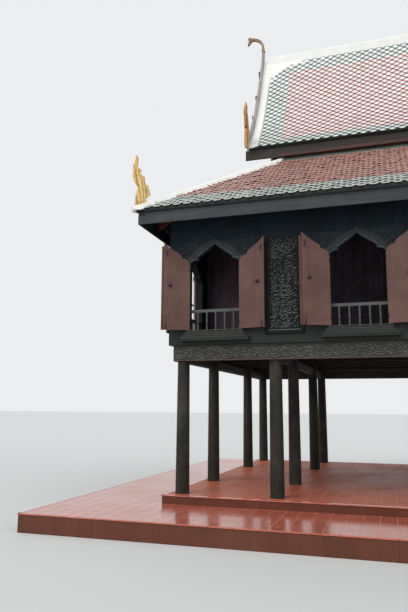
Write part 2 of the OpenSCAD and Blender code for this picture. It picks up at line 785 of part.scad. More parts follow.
// Trusses over the three rows of inner posts
module tie_beam_set() {
    for (x = inner_xs) {
        translate([x, 0, tie_z + tie_h / 2])
            cube([truss_w, 2 * (hip_y - clere_t), tie_h], center = true);
    }
}
module tie_beams() color("dimgray") tie_beam_set();
module king_posts() color("dimgray") {
    for (x = inner_xs) box([x - truss_w / 2, -truss_w / 2, tie_z + tie_h], [x + truss_w / 2, truss_w / 2, ridge_beam_z]);
}
module principal_rafters() color("dimgray") both_slopes() {
    depth = upper_tile_t + purlin_h;
    for (x = inner_xs) translate([x, 0, 0]) ridge_run(truss_w) difference() {
        slope_band(-depth - principal_h, -depth, 0, past_ridge);
        square([truss_w / 2, big]);
        translate([-truss_w, ridge_beam_z]) square([2 * truss_w, big]);
        translate([room_w / 2 - upper_plate_w / 2, 0]) square([2 * eave_v, big]);
        purlin_profiles();
    }
}

// Fascias, stucco bands and bargeboards of the upper roof
module upper_fascia_profile() {
    translate([upper_fascia_v - fascia_t, upper_fascia_top - upper_fascia_h]) fascia_profile(upper_fascia_h);
}
module upper_fascias() color("black") both_slopes() {
    ridge_run(2 * (barge_x + upper_fascia_out)) upper_fascia_profile();
}
module verge_caps() color("whitesmoke") four_corners() difference() {
    union() {
        translate([verge_x - verge_cap_w / 2, 0, 0]) ridge_run(verge_cap_w)
            slope_band(0, verge_cap_t, 0, past_ridge);
        intersection() {
            ridge_run(2 * verge_x) slope_band(0, corner_t, 0, past_ridge);
            upright(4 * eave_v) polygon(concat(
                ellipse_arc(corner_middle, [corner_x, corner_z], 0, 90, 8),
                [[corner_middle[0], 2 * ridge_z], [verge_x - verge_cap_w / 2, 2 * ridge_z]],
                [[verge_x - verge_cap_w / 2, corner_middle[1]]]
            ));
        }
    }
    ridge_run(2 * barge_x) ridge_cap_outline();
}
// Middle of the rounded edge of the plaster corner, as (x, z)
corner_middle = [verge_x - verge_cap_w - corner_x, ridge_z - ridge_cap_w * upper_slope - corner_z];
module ridge_cap_outline() polygon(both_halves([
    [ridge_cap_w / 2, ridge_z - 2 * ridge_cap_w], [ridge_cap_w * 0.45, ridge_z + ridge_cap_h * 0.8],
    [ridge_cap_w * 0.3, ridge_z + ridge_cap_h]
]));
module ridge_cap() color("whitesmoke") ridge_run(2 * verge_x) difference() {
    ridge_cap_outline();
    under_roof(0);
}
// Upper edge of a bargeboard: leaves that lean up the slope
barge_edge = [
    for (i = [0:barge_leaves - 1], k = [0:2])
        slope_pt((i + [0, 0.55, 0.85][k]) / barge_leaves * 1.04, barge_up + [0, 0.5, 1][k] * leaf_h)
];
module barge_profile() one_slope() difference() {
    polygon(concat(barge_edge, [slope_pt(past_ridge, barge_up)],
        reversed(slope_line(-barge_down, 0, past_ridge, roof_steps))));
    purlin_profiles();
    ridge_beam_profile();
    upper_fascia_profile();
}
module bargeboards() color("gray") four_corners() {
    translate([verge_x + barge_t / 2, 0, 0]) ridge_run(barge_t) barge_profile();
}

// Flame outline of the corner finials, as shares of the height: x runs in towards the roof
flame_outline = [
    [-0.13, -0.15], [-0.13, 0.06], [-0.115, 0.26], [-0.085, 0.35], [-0.06, 0.385], [-0.125, 0.42], [-0.15, 0.47],
    [-0.18, 0.55], [-0.19, 0.68], [-0.185, 0.8], [-0.16, 0.88], [-0.13, 1], [-0.09, 0.93], [-0.105, 0.85],
    [-0.11, 0.77], [-0.095, 0.73], [-0.03, 0.725], [-0.035, 0.635], [-0.01, 0.6], [0.055, 0.59], [0.045, 0.515],
    [0.06, 0.45], [0.125, 0.43], [0.13, 0.375], [0.17, 0.24], [0.11, 0.19], [0.08, 0.16], [0.11, 0.09],
    [0.15, 0.04], [0.15, -0.15]
];
module flame(height, thickness) rotate([90, 0, 0]) {
    linear_extrude(thickness * 0.6, center = true) polygon(height * flame_outline);
    linear_extrude(thickness, center = true) intersection() {
        polygon(height * flame_outline);
        polygon([for (p = flame_outline) height * [p[0] * 0.6 - 0.02, p[1] * 0.9 + 0.03]]);
    }
}
module hip_finials() color("goldenrod") four_corners() difference() {
    translate([hip_foot_x, hip_foot_y, drip_z + hip_cap_h]) rotate([0, 0, hip_angle + 180])
        translate([hip_finial_in, 0, 0]) flame(hip_finial_h, finial_t);
    hip_bar();
    below_roof();
}
module eave_finials() color("goldenrod") four_corners() difference() {
    foot = slope_pt(0, barge_up);
    translate([verge_x + barge_t / 2, foot[0] - eave_finial_h * 0.02, foot[1]]) rotate([0, 0, -90])
        flame(eave_finial_h, finial_t);
    ridge_run(2 * big) below_line(barge_up + leaf_h / 2);
    ridge_run(2 * big) {
        barge_profile();
        upper_fascia_profile();
    }
}
// Horn over the gable, as shares of its height: x runs outwards
horn_outline = [
    [-0.11, -0.7], [-0.1, 0], [-0.05, 0.27], [-0.01, 0.49], [0.09, 0.67], [0.27, 0.82], [0.49, 0.91], [0.66, 0.94],
    [0.72, 0.99], [0.82, 1], [0.88, 0.95], [0.87, 0.88], [0.8, 0.85], [0.87, 0.72], [0.9, 0.53], [0.8, 0.63],
    [0.7, 0.76], [0.6, 0.81], [0.49, 0.79], [0.31, 0.7], [0.17, 0.56], [0.09, 0.4], [0.06, 0.2], [0.11, -0.05],
    [0.11, -0.7]
];
module apex_finials() color("darkgoldenrod") both_ends() difference() {
    translate([verge_x + barge_t / 2, 0, ridge_z + barge_up / cos(tilt_at(1))]) rotate([90, 0, 0])
        linear_extrude(finial_t, center = true) polygon(apex_finial_h * horn_outline);
    both_slopes() ridge_run(2 * big) {
        barge_profile();
        under_roof(barge_up);
    }
}

lower_plinth();
upper_plinth();
outer_posts();
inner_posts();
cross_beams();
floor_joists();
floor_boards();
long_sill_beams();
end_sill_beams();
front_wall();
back_wall();
left_wall();
right_wall();
inner_walls();
window_frames();
window_sills();
window_balustrades();
left_shutters();
right_shutters();
carved_panels();
wall_plates();
lower_rafters();
hip_rafters();
lower_roof_front();
lower_roof_back();
lower_roof_left();
lower_roof_right();
lower_fascias();
hip_ridges();
roof_flashing();
upper_side_walls();
gable_walls();
upper_plates();
tie_beams();
king_posts();
principal_rafters();
purlins();
ridge_beam();
upper_roof_front();
upper_roof_back();
upper_fascias();
verge_caps();
ridge_cap();
bargeboards();
hip_finials();
eave_finials();
apex_finials();
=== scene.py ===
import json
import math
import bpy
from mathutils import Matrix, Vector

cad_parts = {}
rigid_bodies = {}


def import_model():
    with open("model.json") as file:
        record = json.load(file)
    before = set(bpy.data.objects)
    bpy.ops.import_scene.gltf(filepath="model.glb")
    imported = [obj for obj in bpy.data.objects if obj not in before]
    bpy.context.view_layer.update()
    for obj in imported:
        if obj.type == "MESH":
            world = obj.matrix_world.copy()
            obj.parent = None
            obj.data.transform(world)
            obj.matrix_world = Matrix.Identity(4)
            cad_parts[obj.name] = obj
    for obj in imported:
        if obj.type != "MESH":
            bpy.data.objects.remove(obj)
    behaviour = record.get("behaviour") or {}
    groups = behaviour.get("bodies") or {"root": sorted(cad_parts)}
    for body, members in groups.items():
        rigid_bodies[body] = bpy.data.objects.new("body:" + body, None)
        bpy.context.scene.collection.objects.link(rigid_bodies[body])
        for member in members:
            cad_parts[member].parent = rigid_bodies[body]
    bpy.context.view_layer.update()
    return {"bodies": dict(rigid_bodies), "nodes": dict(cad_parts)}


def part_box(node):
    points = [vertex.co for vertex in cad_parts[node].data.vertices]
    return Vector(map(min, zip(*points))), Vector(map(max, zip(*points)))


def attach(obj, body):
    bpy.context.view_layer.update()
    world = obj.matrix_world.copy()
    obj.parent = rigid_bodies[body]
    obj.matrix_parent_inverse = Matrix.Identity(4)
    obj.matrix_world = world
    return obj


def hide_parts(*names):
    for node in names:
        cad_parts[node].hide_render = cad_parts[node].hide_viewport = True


bl_info = {
    "name": "Stilt house finish",
    "version": (1, 0, 0),
    "blender": (4, 5, 0),
    "location": "3D View > Sidebar > House",
    "description": "Roof tiles, paving, carving, shutter fittings and finishes for a timber house on posts",
    "category": "Object",
}

import bmesh
import bpy
import numpy as np
from bpy.props import FloatProperty, FloatVectorProperty, IntProperty, PointerProperty
from mathutils import Matrix, Vector

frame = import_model()
nodes = frame["nodes"]
body = next(iter(frame["bodies"]))

# The photograph's camera: its place, turn to the left, tilt up, roll, lens and sensor
CAMERA_AT = (-1.041, -14.478, 2.037)
CAMERA_YAW = math.radians(17.59)
CAMERA_PITCH = math.radians(9.69)
CAMERA_ROLL = math.radians(0.34)
CAMERA_LENS = 34.86
CAMERA_SENSOR = 36.0


def ink(red, green, blue):
    """A colour in linear light from its screen values of 0 to 255."""

    def linear(value):
        share = value / 255
        return share / 12.92 if share <= 0.04045 else ((share + 0.055) / 1.055) ** 2.4

    return (linear(red), linear(green), linear(blue), 1.0)


def metres(label, text, value, low=0.0):
    return FloatProperty(name=label, description=text, default=value, min=low, unit="LENGTH")


def colour(label, text, *screen):
    return FloatVectorProperty(
        name=label, description=text, default=ink(*screen), size=4, min=0, max=1, subtype="COLOR"
    )


# What a user would change


class PavingLooks(bpy.types.PropertyGroup):
    pitch: metres("Tile pitch", "Distance between the joints of the paving", 0.254, 0.1)
    joint: metres("Joint", "Width of a joint between tiles", 0.006, 0.001)
    thickness: metres("Thickness", "How far a tile stands over the mortar bed", 0.002, 0.001)
    phase: metres("Joint place", "Place of one joint across the front", 0.203)
    tile: colour("Tile", "Glazed terracotta of the paving", 196, 100, 78)
    shaded: colour("Shaded tile", "Duller terracotta under the house", 192, 102, 72)
    riser: colour("Riser", "Darker tile of the risers", 100, 54, 38)
    mortar: colour("Mortar", "Joints of the paving", 236, 178, 158)
    stain: colour("Stained mortar", "Joints of the risers", 66, 48, 36)


class TimberLooks(bpy.types.PropertyGroup):
    post: colour("Posts", "Weathered round posts", 40, 38, 32)
    dust: colour("Dust", "Grey weathering on posts and beams", 80, 77, 67)
    dark: colour("Dark timber", "Beams, joists, plates and roof timbers", 15, 17, 18)
    fascia: colour("Fascias", "Weathered boards under the lower roof", 42, 47, 53)
    wall: colour("Walls", "Blackened wall boards", 17, 29, 37)
    carved: colour("Carved timber", "Frames, sills and door casings", 36, 39, 38)
    # Partly painted shade: the ground is darkened for the shade between the raised leaves.
    ground: colour("Carving ground", "Dark ground between the carved leaves", 16, 20, 23)
    relief: colour("Relief", "Raised parts of the carving", 42, 46, 46)
    # Also a painted highlight: the pale beads on the sill steps stand for the light their ledges catch.
    worn: colour("Worn edges", "Edges of sills and ledges, rubbed pale", 86, 87, 80)
    sill: colour("Sill beams", "Olive grey carving of the sill beams", 78, 80, 73)
    sill_ground: colour("Sill beam ground", "Ground between the carving of the sill beams", 50, 52, 48)
    upper_fascia: colour("Upper fascias", "Browner boards under the upper roof", 54, 48, 43)
    lower_edge: colour("Lower edge", "Warm worn bead under the sill beams", 112, 88, 72)
    wall_dust: colour("Wall dust", "Grey dust at the foot of the walls", 42, 46, 42)
    # Painted reflected light: this red board stands for the red light that the lower roof throws up onto the
    # foot of the upper fascias.
    eave: colour("Eave board", "Brown red board under the upper fascias", 78, 44, 38)
    rafter: colour("Red timber", "Red painted rafters and upper walls", 118, 52, 42)
    inner: colour("Inner boards", "Brown boards of the inner walls", 100, 80, 94)
    floor: colour("Floor", "Floor boards", 46, 28, 23)
    board: metres("Floor board", "Width of a floor board", 0.2, 0.05)


class ShutterLooks(bpy.types.PropertyGroup):
    paint: colour("Paint", "Dusty red paint of the leaves", 88, 55, 47)
    dust: colour("Dust", "Pale bloom on the paint", 113, 81, 72)
    iron: colour("Iron", "Knobs and bolts", 50, 50, 48)
    knob: metres("Knob", "Radius of a knob", 0.030, 0.005)


class RoofLooks(bpy.types.PropertyGroup):
    width: metres("Tile width", "Width of a lozenge tile", 0.2, 0.05)
    row: metres("Row", "Distance between the rows of tiles", 0.0885, 0.03)
    lift: metres("Lift", "How far the tip of a tile stands over the slope", 0.024, 0.005)
    edge: metres("Edge", "Thickness of a tile", 0.016, 0.003)
    rim: metres("Rim", "Width of the slope along the lower edges", 0.014, 0.002)
    belly: metres("Belly", "How far the middle of a tile stands over its rim", 0.004, 0.0)
    border: metres("Border", "Green border at the verges", 0.52, 0.0)
    green_rows: IntProperty(name="Green rows", description="Green rows at an upper eave", default=4, min=0)
    lower_rows: IntProperty(name="Lower rows", description="Green rows at a lower eave", default=7, min=0)
    # The upper faces are near white: a painted sky reflection over worn glaze.
    upper_green_sky_sheen: colour("Upper green", "Worn face of a green tile of the upper roof", 240, 246, 240)
    upper_green_rim: colour("Upper green rim", "Green glaze along the lower edges, upper roof", 44, 78, 68)
    upper_red_sky_sheen: colour("Upper red", "Worn face of a red tile of the upper roof", 246, 243, 236)
    upper_red_rim: colour("Upper red rim", "Red glaze along the lower edges, upper roof", 158, 26, 30)
    lower_green: colour("Lower green", "Face of a green tile of the lower roof", 50, 74, 72)
    # The pale lower edges of the lower roof's tiles are a painted sky reflection on partly worn glaze.
    lower_green_rim_sheen: colour("Lower green rim", "Pale lower edge of a green tile, lower roof", 246, 250, 242)
    lower_red: colour("Lower red", "Face of a red tile of the lower roof", 118, 50, 42)
    lower_red_rim_sheen: colour("Lower red rim", "Pale lower edge of a red tile, lower roof", 232, 176, 160)
    # Painted shade: the sides of the tiles hang under their rims in shade.
    green_side_shade: colour("Green side", "Dark side of a green tile under its rim", 20, 30, 28)
    red_side_shade: colour("Red side", "Dark side of a red tile under its rim", 44, 16, 14)
    # Painted shadow, with some dirt, under the tips where the tiles of a row meet.
    gap: colour("Gap", "Dark corner where two tiles of the upper roof meet", 38, 30, 28)
    stucco: colour("Stucco", "White bands of the ridges", 246, 245, 240)
    mortar: colour("Mortar", "Fillet under the upper walls", 96, 106, 96)


class FinialLooks(bpy.types.PropertyGroup):
    gold: colour("Gold", "Ochre gilding", 244, 210, 136)
    rubbed: colour("Rubbed gold", "Brown ground in the grooves of the gilding", 152, 104, 54)
    # Painted shade: the eave finials' gilding is browner because they stand in shade.
    shaded_gold: colour("Aged gold", "Browner gilding of the eave finials", 198, 146, 90)
    horn: colour("Horns", "Tarnished gilding of the apex finials", 144, 118, 82)
    barge: colour("Bargeboards", "Weathered grey bargeboards", 176, 171, 170)


class StageLooks(bpy.types.PropertyGroup):
    floor: colour("Floor", "Plain pale floor", 214, 214, 212)
    size: metres("Floor size", "Side of the floor", 400.0, 10.0)


LOOKS = {
    "house_paving": PavingLooks,
    "house_timber": TimberLooks,
    "house_shutters": ShutterLooks,
    "house_roof": RoofLooks,
    "house_finials": FinialLooks,
    "house_stage": StageLooks,
}


# Modelling helpers

MERGE = 0.0002  # points nearer than this become one


def deselect():
    if bpy.context.object and bpy.context.object.mode != "OBJECT":
        bpy.ops.object.mode_set(mode="OBJECT")
    bpy.ops.object.select_all(action="DESELECT")


def activate(piece):
    deselect()
    piece.select_set(True)
    bpy.context.view_layer.objects.active = piece


def edit_all(piece):
    """Opens a piece in edit mode with all of it selected."""
    activate(piece)
    bpy.ops.object.mode_set(mode="EDIT")
    bpy.ops.mesh.select_all(action="SELECT")


def new_object(name, data):
    piece = bpy.data.objects.new(name, data)
    bpy.context.scene.collection.objects.link(piece)
    return piece


def pick(piece, kind, test):
    """In edit mode, selects the faces, edges or vertices whose middle passes the test, and nothing else."""
    mesh = bmesh.from_edit_mesh(piece.data)
    bpy.ops.mesh.select_all(action="DESELECT")
    bpy.context.tool_settings.mesh_select_mode = (kind == "VERT", kind == "EDGE", kind == "FACE")
    if kind == "VERT":
        found = [v for v in mesh.verts if test(v.co)]
    elif kind == "EDGE":
        found = [e for e in mesh.edges if test((e.verts[0].co + e.verts[1].co) / 2)]
    else:
        found = [f for f in mesh.faces if test(f.calc_center_median())]
    for element in found:
        element.select = True
    mesh.select_flush_mode()
    bmesh.update_edit_mesh(piece.data)


def take(piece):
    """The points and faces of a mesh that has been modelled once, which is then removed."""
    deselect()
    mesh = piece.data
    points = np.empty(len(mesh.vertices) * 3)
    mesh.vertices.foreach_get("co", points)
    faces = [tuple(p.vertices) for p in mesh.polygons]
    bpy.data.objects.remove(piece)
    bpy.data.meshes.remove(mesh)
    return points.reshape(-1, 3), faces


def build(name, points, faces, material, slot, attributes=None, smooth=False):
    """A finished piece from points and faces, with one value a point for each named attribute."""
    mesh = bpy.data.meshes.new(name)
    mesh.from_pydata(np.asarray(points).tolist(), [], faces)
    for label, values in (attributes or {}).items():
        layer = mesh.attributes.new(label, "FLOAT", "POINT")
        layer.data.foreach_set("value", np.asarray(values, np.float32))
    mesh.materials.append(material)
    if smooth:
        mesh.polygons.foreach_set("use_smooth", [True] * len(mesh.polygons))
    mesh.update()
    piece = new_object(name, mesh)
    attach(piece, body)
    return piece


def spread(template, matrices):
    """Copies of a template at each matrix: points and faces, and the number of the copy of each point."""
    points, faces = template
    stack = np.array([np.array(m) for m in matrices])
    flat = np.c_[points, np.ones(len(points))]
    copies = np.einsum("kij,nj->kni", stack, flat)[:, :, :3].reshape(-1, 3)
    count = len(points)
    back = [face[::-1] for face in faces]
    all_faces = []
    for k, matrix in enumerate(stack):
        kept = faces if np.linalg.det(matrix[:3, :3]) > 0 else back
        all_faces.extend(tuple(i + k * count for i in face) for face in kept)
    return copies, all_faces, np.repeat(np.arange(len(stack)), count)


def moved(template, matrix):
    """The points and faces of a template at one place."""
    return spread(template, [matrix])[:2]


def gather(*parts):
    """Several sets of points and faces as one."""
    points, faces, start = [], [], 0
    for some_points, some_faces in parts:
        points.append(some_points)
        faces.extend(tuple(i + start for i in face) for face in some_faces)
        start += len(some_points)
    return np.concatenate(points), faces


def ease_edges(piece, width, segments=1):
    ease = piece.modifiers.new("ease", "BEVEL")
    ease.width = width
    ease.segments = segments
    ease.limit_method = "ANGLE"
    ease.angle_limit = math.radians(35)
    bpy.ops.object.modifier_apply(modifier="ease")


def softened(node, width, material, segments=1):
    """A copy of a CAD node with its edges eased, which stands for the node."""
    mesh = nodes[node].data.copy()
    mesh.materials.clear()
    mesh.materials.append(material)
    piece = new_object("eased_" + node, mesh)
    activate(piece)
    bpy.ops.mesh.customdata_custom_splitnormals_clear()
    edit_all(piece)
    bpy.ops.mesh.remove_doubles(threshold=MERGE)
    bpy.ops.mesh.dissolve_limited(angle_limit=math.radians(1))
    bpy.ops.object.mode_set(mode="OBJECT")
    bpy.ops.object.shade_flat()
    ease_edges(piece, width, segments)
    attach(piece, body)
    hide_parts(node)


def clip(piece, point, normal):
    """Cuts away what lies on the side that the normal points to."""
    edit_all(piece)
    bpy.ops.mesh.bisect(plane_co=point, plane_no=normal, clear_outer=True, use_fill=False)
    bpy.ops.object.mode_set(mode="OBJECT")


def turned(profile, steps=14):
    """A turned shape round Z, from its radii and heights."""
    mesh = bpy.data.meshes.new("profile")
    mesh.from_pydata([(r, 0, h) for r, h in profile], [(i, i + 1) for i in range(len(profile) - 1)], [])
    piece = new_object("profile", mesh)
    edit_all(piece)
    bpy.ops.mesh.spin(steps=steps, angle=2 * math.pi, center=(0, 0, 0), axis=(0, 0, 1))
    bpy.ops.mesh.select_all(action="SELECT")
    bpy.ops.mesh.remove_doubles(threshold=MERGE)
    bpy.ops.mesh.normals_make_consistent(inside=False)
    return take(piece)


def block(size, bevel, middle=(0, 0, 0)):
    """A block with bevelled edges."""
    deselect()
    bpy.ops.mesh.primitive_cube_add(size=1, location=(0, 0, 0))
    piece = bpy.context.object
    piece.data.transform(Matrix.Translation(middle) @ Matrix.Diagonal((*size, 1)))
    ease_edges(piece, bevel)
    return take(piece)


def tube(points, radius, sides=6, taper=None):
    """A rod along points, with a share of the radius at each where it tapers."""
    line = bpy.data.curves.new("rod", "CURVE")
    line.dimensions = "3D"
    line.bevel_depth = radius
    line.bevel_resolution = sides // 2 - 2
    line.use_fill_caps = True
    spline = line.splines.new("POLY")
    spline.points.add(len(points) - 1)
    for point, at, share in zip(spline.points, points, taper or [1] * len(points)):
        point.co = (*at, 1)
        point.radius = share
    activate(new_object("rod", line))
    bpy.ops.object.convert(target="MESH")
    return take(bpy.context.object)


UPRIGHT = Matrix.Rotation(math.pi / 2, 4, "X")


def along_x(scale):
    """Stretches along X, or mirrors where it is below 0."""
    return Matrix.Diagonal((scale, 1, 1, 1))


def quarter(side):
    """A turn to one side of the house: 0 the front, 1 the right end, 2 the back, 3 the left end."""
    return Matrix.Rotation(math.pi / 2 * side, 4, "Z")


# Places on the walls, as in the part's source

# For the front and back, and then for the ends: how far out the walls stand, the middles of their windows,
# and half the length and the face of their sill beams
WALL_OUT = (3.895, 5.100)
WINDOWS = ((-4.18, -1.54, 1.54, 4.18), (-2.65, 0.0, 2.65))
BEAM_HALF, BEAM_OUT = (5.0, 3.795), (3.824, 5.029)
# Heights of the feet of the windows and panels, of the middle of the sill beams and of their two beads
WINDOW_Z, PANEL_Z = 3.460, 3.420
BEAM_Z, BEAM_BEADS_Z = 3.0465, (2.912, 3.181)
INNER_WALL_Y, DOOR_HEIGHT, DOOR_JAMB_X = 1.765, 2.035, 0.485
# Half of a window's width, and the heights of the springing and the apex of its arch over its foot
HALF_W, JAMB, APEX = 0.4925, 1.270, 1.670
# The scallops of the arch: middle across and up, radii across and up, turn in radians, number of points
SCALLOPS = ((HALF_W - 0.145, JAMB, 0.145, 0.095, math.pi / 2, 6), (0.1475, JAMB + 0.095, 0.2, 0.13, 0.87, 5))
# The point that wider outlines of the arch grow away from
ARCH_HEART = (0, 0.9)
# The hinge's distance from the middle of its window and from the wall, and the degrees that the leaves open
HINGE_U, HINGE_OUT = HALF_W + 0.005, 0.045
LEAF_OPEN = (158, 168)
# Steps of a sill: the depth of its foot, its reach from the wall, and its reach past the window
SILL_STEPS = ((0.05, 0.072, 0.06), (0.09, 0.08, 0.09), (0.13, 0.09, 0.125), (0.2, 0.105, 0.17))


def on_wall(side, along, height):
    """A place on a wall, whose Y points into the wall."""
    return quarter(side) @ Matrix.Translation((along, -WALL_OUT[side % 2], height))


def window_places():
    return [on_wall(side, u, WINDOW_Z) for side in range(4) for u in WINDOWS[side % 2]]


def panel_places():
    return [on_wall(side, (a + b) / 2, PANEL_Z)
            for side in range(4) for a, b in zip(WINDOWS[side % 2], WINDOWS[side % 2][1:])]


def leaf_places():
    """Hinges of all leaves: X runs along the leaf, Y out of the side that shows when it is open."""
    found = []
    for window in window_places():
        for flip, turn in zip((1, -1), LEAF_OPEN):
            swing = Matrix.Rotation(-math.radians(turn), 4, "Z")
            found.append(window @ along_x(flip) @ (Matrix.Translation((-HINGE_U, -HINGE_OUT, 0)) @ swing))
    return found


def arch_line(out):
    """Half of the window's arch from the springing to the apex, moved outwards by a distance, as (u, z)."""
    line = [(u + across * math.cos(a), z + up * math.sin(a))
            for u, z, across, up, turn, count in SCALLOPS for a in np.linspace(0, turn, count)]
    line += [(line[-1][0] * (1 - s), line[-1][1] + (APEX - line[-1][1]) * s) for s in (0.33, 0.67, 1.0)]
    away = np.array(line) - ARCH_HEART
    return np.array(line) + away / np.linalg.norm(away, axis=1)[:, None] * out


# Carving

# Carving lower than this is darkened towards its ground colour as painted shade.
FULL_RISE = 0.014  # height over the ground from which carving is coloured as its top


def spiral(radius, turns, thick, taper):
    """A spiral stem that thins towards its eye, flat on X and Y, with its outer end at angle 0."""
    steps = int(turns * 11)
    points, sizes = [], []
    for i in range(steps + 1):
        share = i / steps
        r = radius * (1 - 0.9 * share ** 0.85)
        angle = 2 * math.pi * turns * share
        points.append((r * math.cos(angle), r * math.sin(angle), 0))
        sizes.append(1 - taper * share)
    return tube(points, thick, taper=sizes)


def carved_leaf(length, width, curl, steps=4):
    """A pointed leaf along X that curls towards Y."""
    points, sizes = [], []
    for i in range(steps + 1):
        share = i / steps
        points.append((length * share, curl * length * share ** 2, 0))
        swell = 0.25 + 0.75 * math.sin(math.pi * min(1, share * 1.25 + 0.1))
        sizes.append(swell if share < 0.75 else 1.6 * (1 - share) + 0.02)
    leaf, faces = tube(points, width / 2, 4, sizes)
    return leaf * (1, 1, 0.85), faces


def placed(template, at, turn=0.0, size=1.0, flip=1):
    """A template moved, turned by degrees and scaled flat on its ground."""
    spin = Matrix.Rotation(math.radians(turn), 4, "Z")
    return moved(template, Matrix.Translation((*at, 0)) @ spin @ Matrix.Diagonal((size, size * flip, 1, 1)))


def mirrored(template):
    """The same shape on the other side of the middle line."""
    return moved(template, along_x(-1))


def foliage_scroll():
    """A scroll with leaves round it, 0.2 across, growing from its lower left."""
    leaf = carved_leaf(0.075, 0.038, 0.5)
    parts = [placed(spiral(0.07, 1.5, 0.0145, 0.45), (0, 0), 200)]
    for angle in (162, 128, 94, 60, 26, -8, -42, -76):
        a = math.radians(angle)
        parts.append(placed(leaf, (0.078 * math.cos(a), 0.078 * math.sin(a)), angle + 36, 0.8, -1))
    parts.append(placed(carved_leaf(0.034, 0.034, 0.2), (-0.018, 0.002), 30))
    return gather(*parts)


def leaf_field(low, high, step, scrolls, flow, rng, keep_off=None):
    """Curling leaves that fill a field between its scrolls and follow a flow of directions."""
    leaf = carved_leaf(0.088, 0.033, 0.6)
    parts = []
    for row in range(int((high[1] - low[1]) / step) + 1):
        for column in range(int((high[0] - low[0]) / step) + 1):
            u = low[0] + (column + (row % 2) / 2) * step + rng.normal(0, 0.007)
            v = low[1] + row * step + rng.normal(0, 0.007)
            turn = flow(u, v) + rng.normal(0, 16)
            size, flip = rng.uniform(0.75, 1.1), rng.choice((-1, 1))
            reach, a = 0.09 * size, math.radians(turn)
            tip = (u + reach * math.cos(a), v + reach * math.sin(a))
            inside = all(low[i] - 0.01 < c[i] < high[i] + 0.01 for c in ((u, v), tip) for i in (0, 1))
            near = min((math.hypot(u - cu, v - cv) for cu, cv in scrolls), default=1)
            if inside and near > 0.082 and not (keep_off and keep_off(u, v)):
                parts.append(placed(leaf, (u, v), turn, size, flip))
    return gather(*parts)


# Shader nodes and node groups


def add(tree, kind, **values):
    """A node, with its properties and its unlinked inputs set."""
    node = tree.nodes.new(kind)
    for key, value in values.items():
        if key.startswith("in_"):
            node.inputs[key[3:].replace("_", " ")].default_value = value
        else:
            setattr(node, key, value)
    return node


def feed(tree, socket, value):
    """Links an input to another node's output, or gives it a value."""
    if isinstance(value, bpy.types.NodeSocket):
        tree.links.new(value, socket)
    else:
        socket.default_value = value


def maths(tree, operation, *values):
    node = add(tree, "ShaderNodeMath", operation=operation)
    for socket, value in zip(node.inputs, values):
        feed(tree, socket, value)
    return node.outputs[0]


def times(tree, first, second):
    return maths(tree, "MULTIPLY", first, second)


def one_less(tree, value):
    return maths(tree, "SUBTRACT", 1.0, value)


def ramp(tree, value, low, high):
    node = add(tree, "ShaderNodeMapRange", in_From_Min=low, in_From_Max=high)
    node.interpolation_type = "SMOOTHSTEP"
    tree.links.new(value, node.inputs["Value"])
    return node.outputs["Result"]


def mixed(tree, share, first, second, blend="MIX"):
    node = add(tree, "ShaderNodeMix", data_type="RGBA", blend_type=blend)
    sockets = [s for s in node.inputs if s.type == "RGBA"]
    factor = next(s for s in node.inputs if s.name == "Factor" and s.type == "VALUE")
    for socket, value in ((factor, share), (sockets[0], first), (sockets[1], second)):
        feed(tree, socket, value)
    return next(s for s in node.outputs if s.type == "RGBA")


def darkened(tree, base, *shares):
    """A colour with its red, green and blue multiplied by shares."""
    return mixed(tree, 1.0, base, (*shares, 1), "MULTIPLY")


def noise(tree, vector, scale, detail=2.0, roughness=0.5, distortion=0.0):
    node = add(tree, "ShaderNodeTexNoise", in_Scale=scale, in_Detail=detail, in_Roughness=roughness,
               in_Distortion=distortion)
    tree.links.new(vector, node.inputs["Vector"])
    return node.outputs[0]


def enlarged(tree, vector, size):
    """A vector multiplied by a size."""
    node = add(tree, "ShaderNodeVectorMath", operation="SCALE")
    tree.links.new(vector, node.inputs[0])
    tree.links.new(size, node.inputs["Scale"])
    return node.outputs[0]


def split(tree, vector):
    """The X, Y and Z of a vector."""
    node = add(tree, "ShaderNodeSeparateXYZ")
    tree.links.new(vector, node.inputs[0])
    return node.outputs


def attribute(tree, label):
    return add(tree, "ShaderNodeAttribute", attribute_name=label).outputs["Fac"]


def shader_group(name, inputs, outputs):
    """A node group, with the outputs of its input node and the inputs of its output node."""
    group = bpy.data.node_groups.new(name, "ShaderNodeTree")
    for label, kind, value in inputs:
        socket = group.interface.new_socket(name=label, in_out="INPUT", socket_type="NodeSocket" + kind)
        if value is not None:
            socket.default_value = value
    for label, kind in outputs:
        group.interface.new_socket(name=label, in_out="OUTPUT", socket_type="NodeSocket" + kind)
    return group, group.nodes.new("NodeGroupInput").outputs, group.nodes.new("NodeGroupOutput").inputs


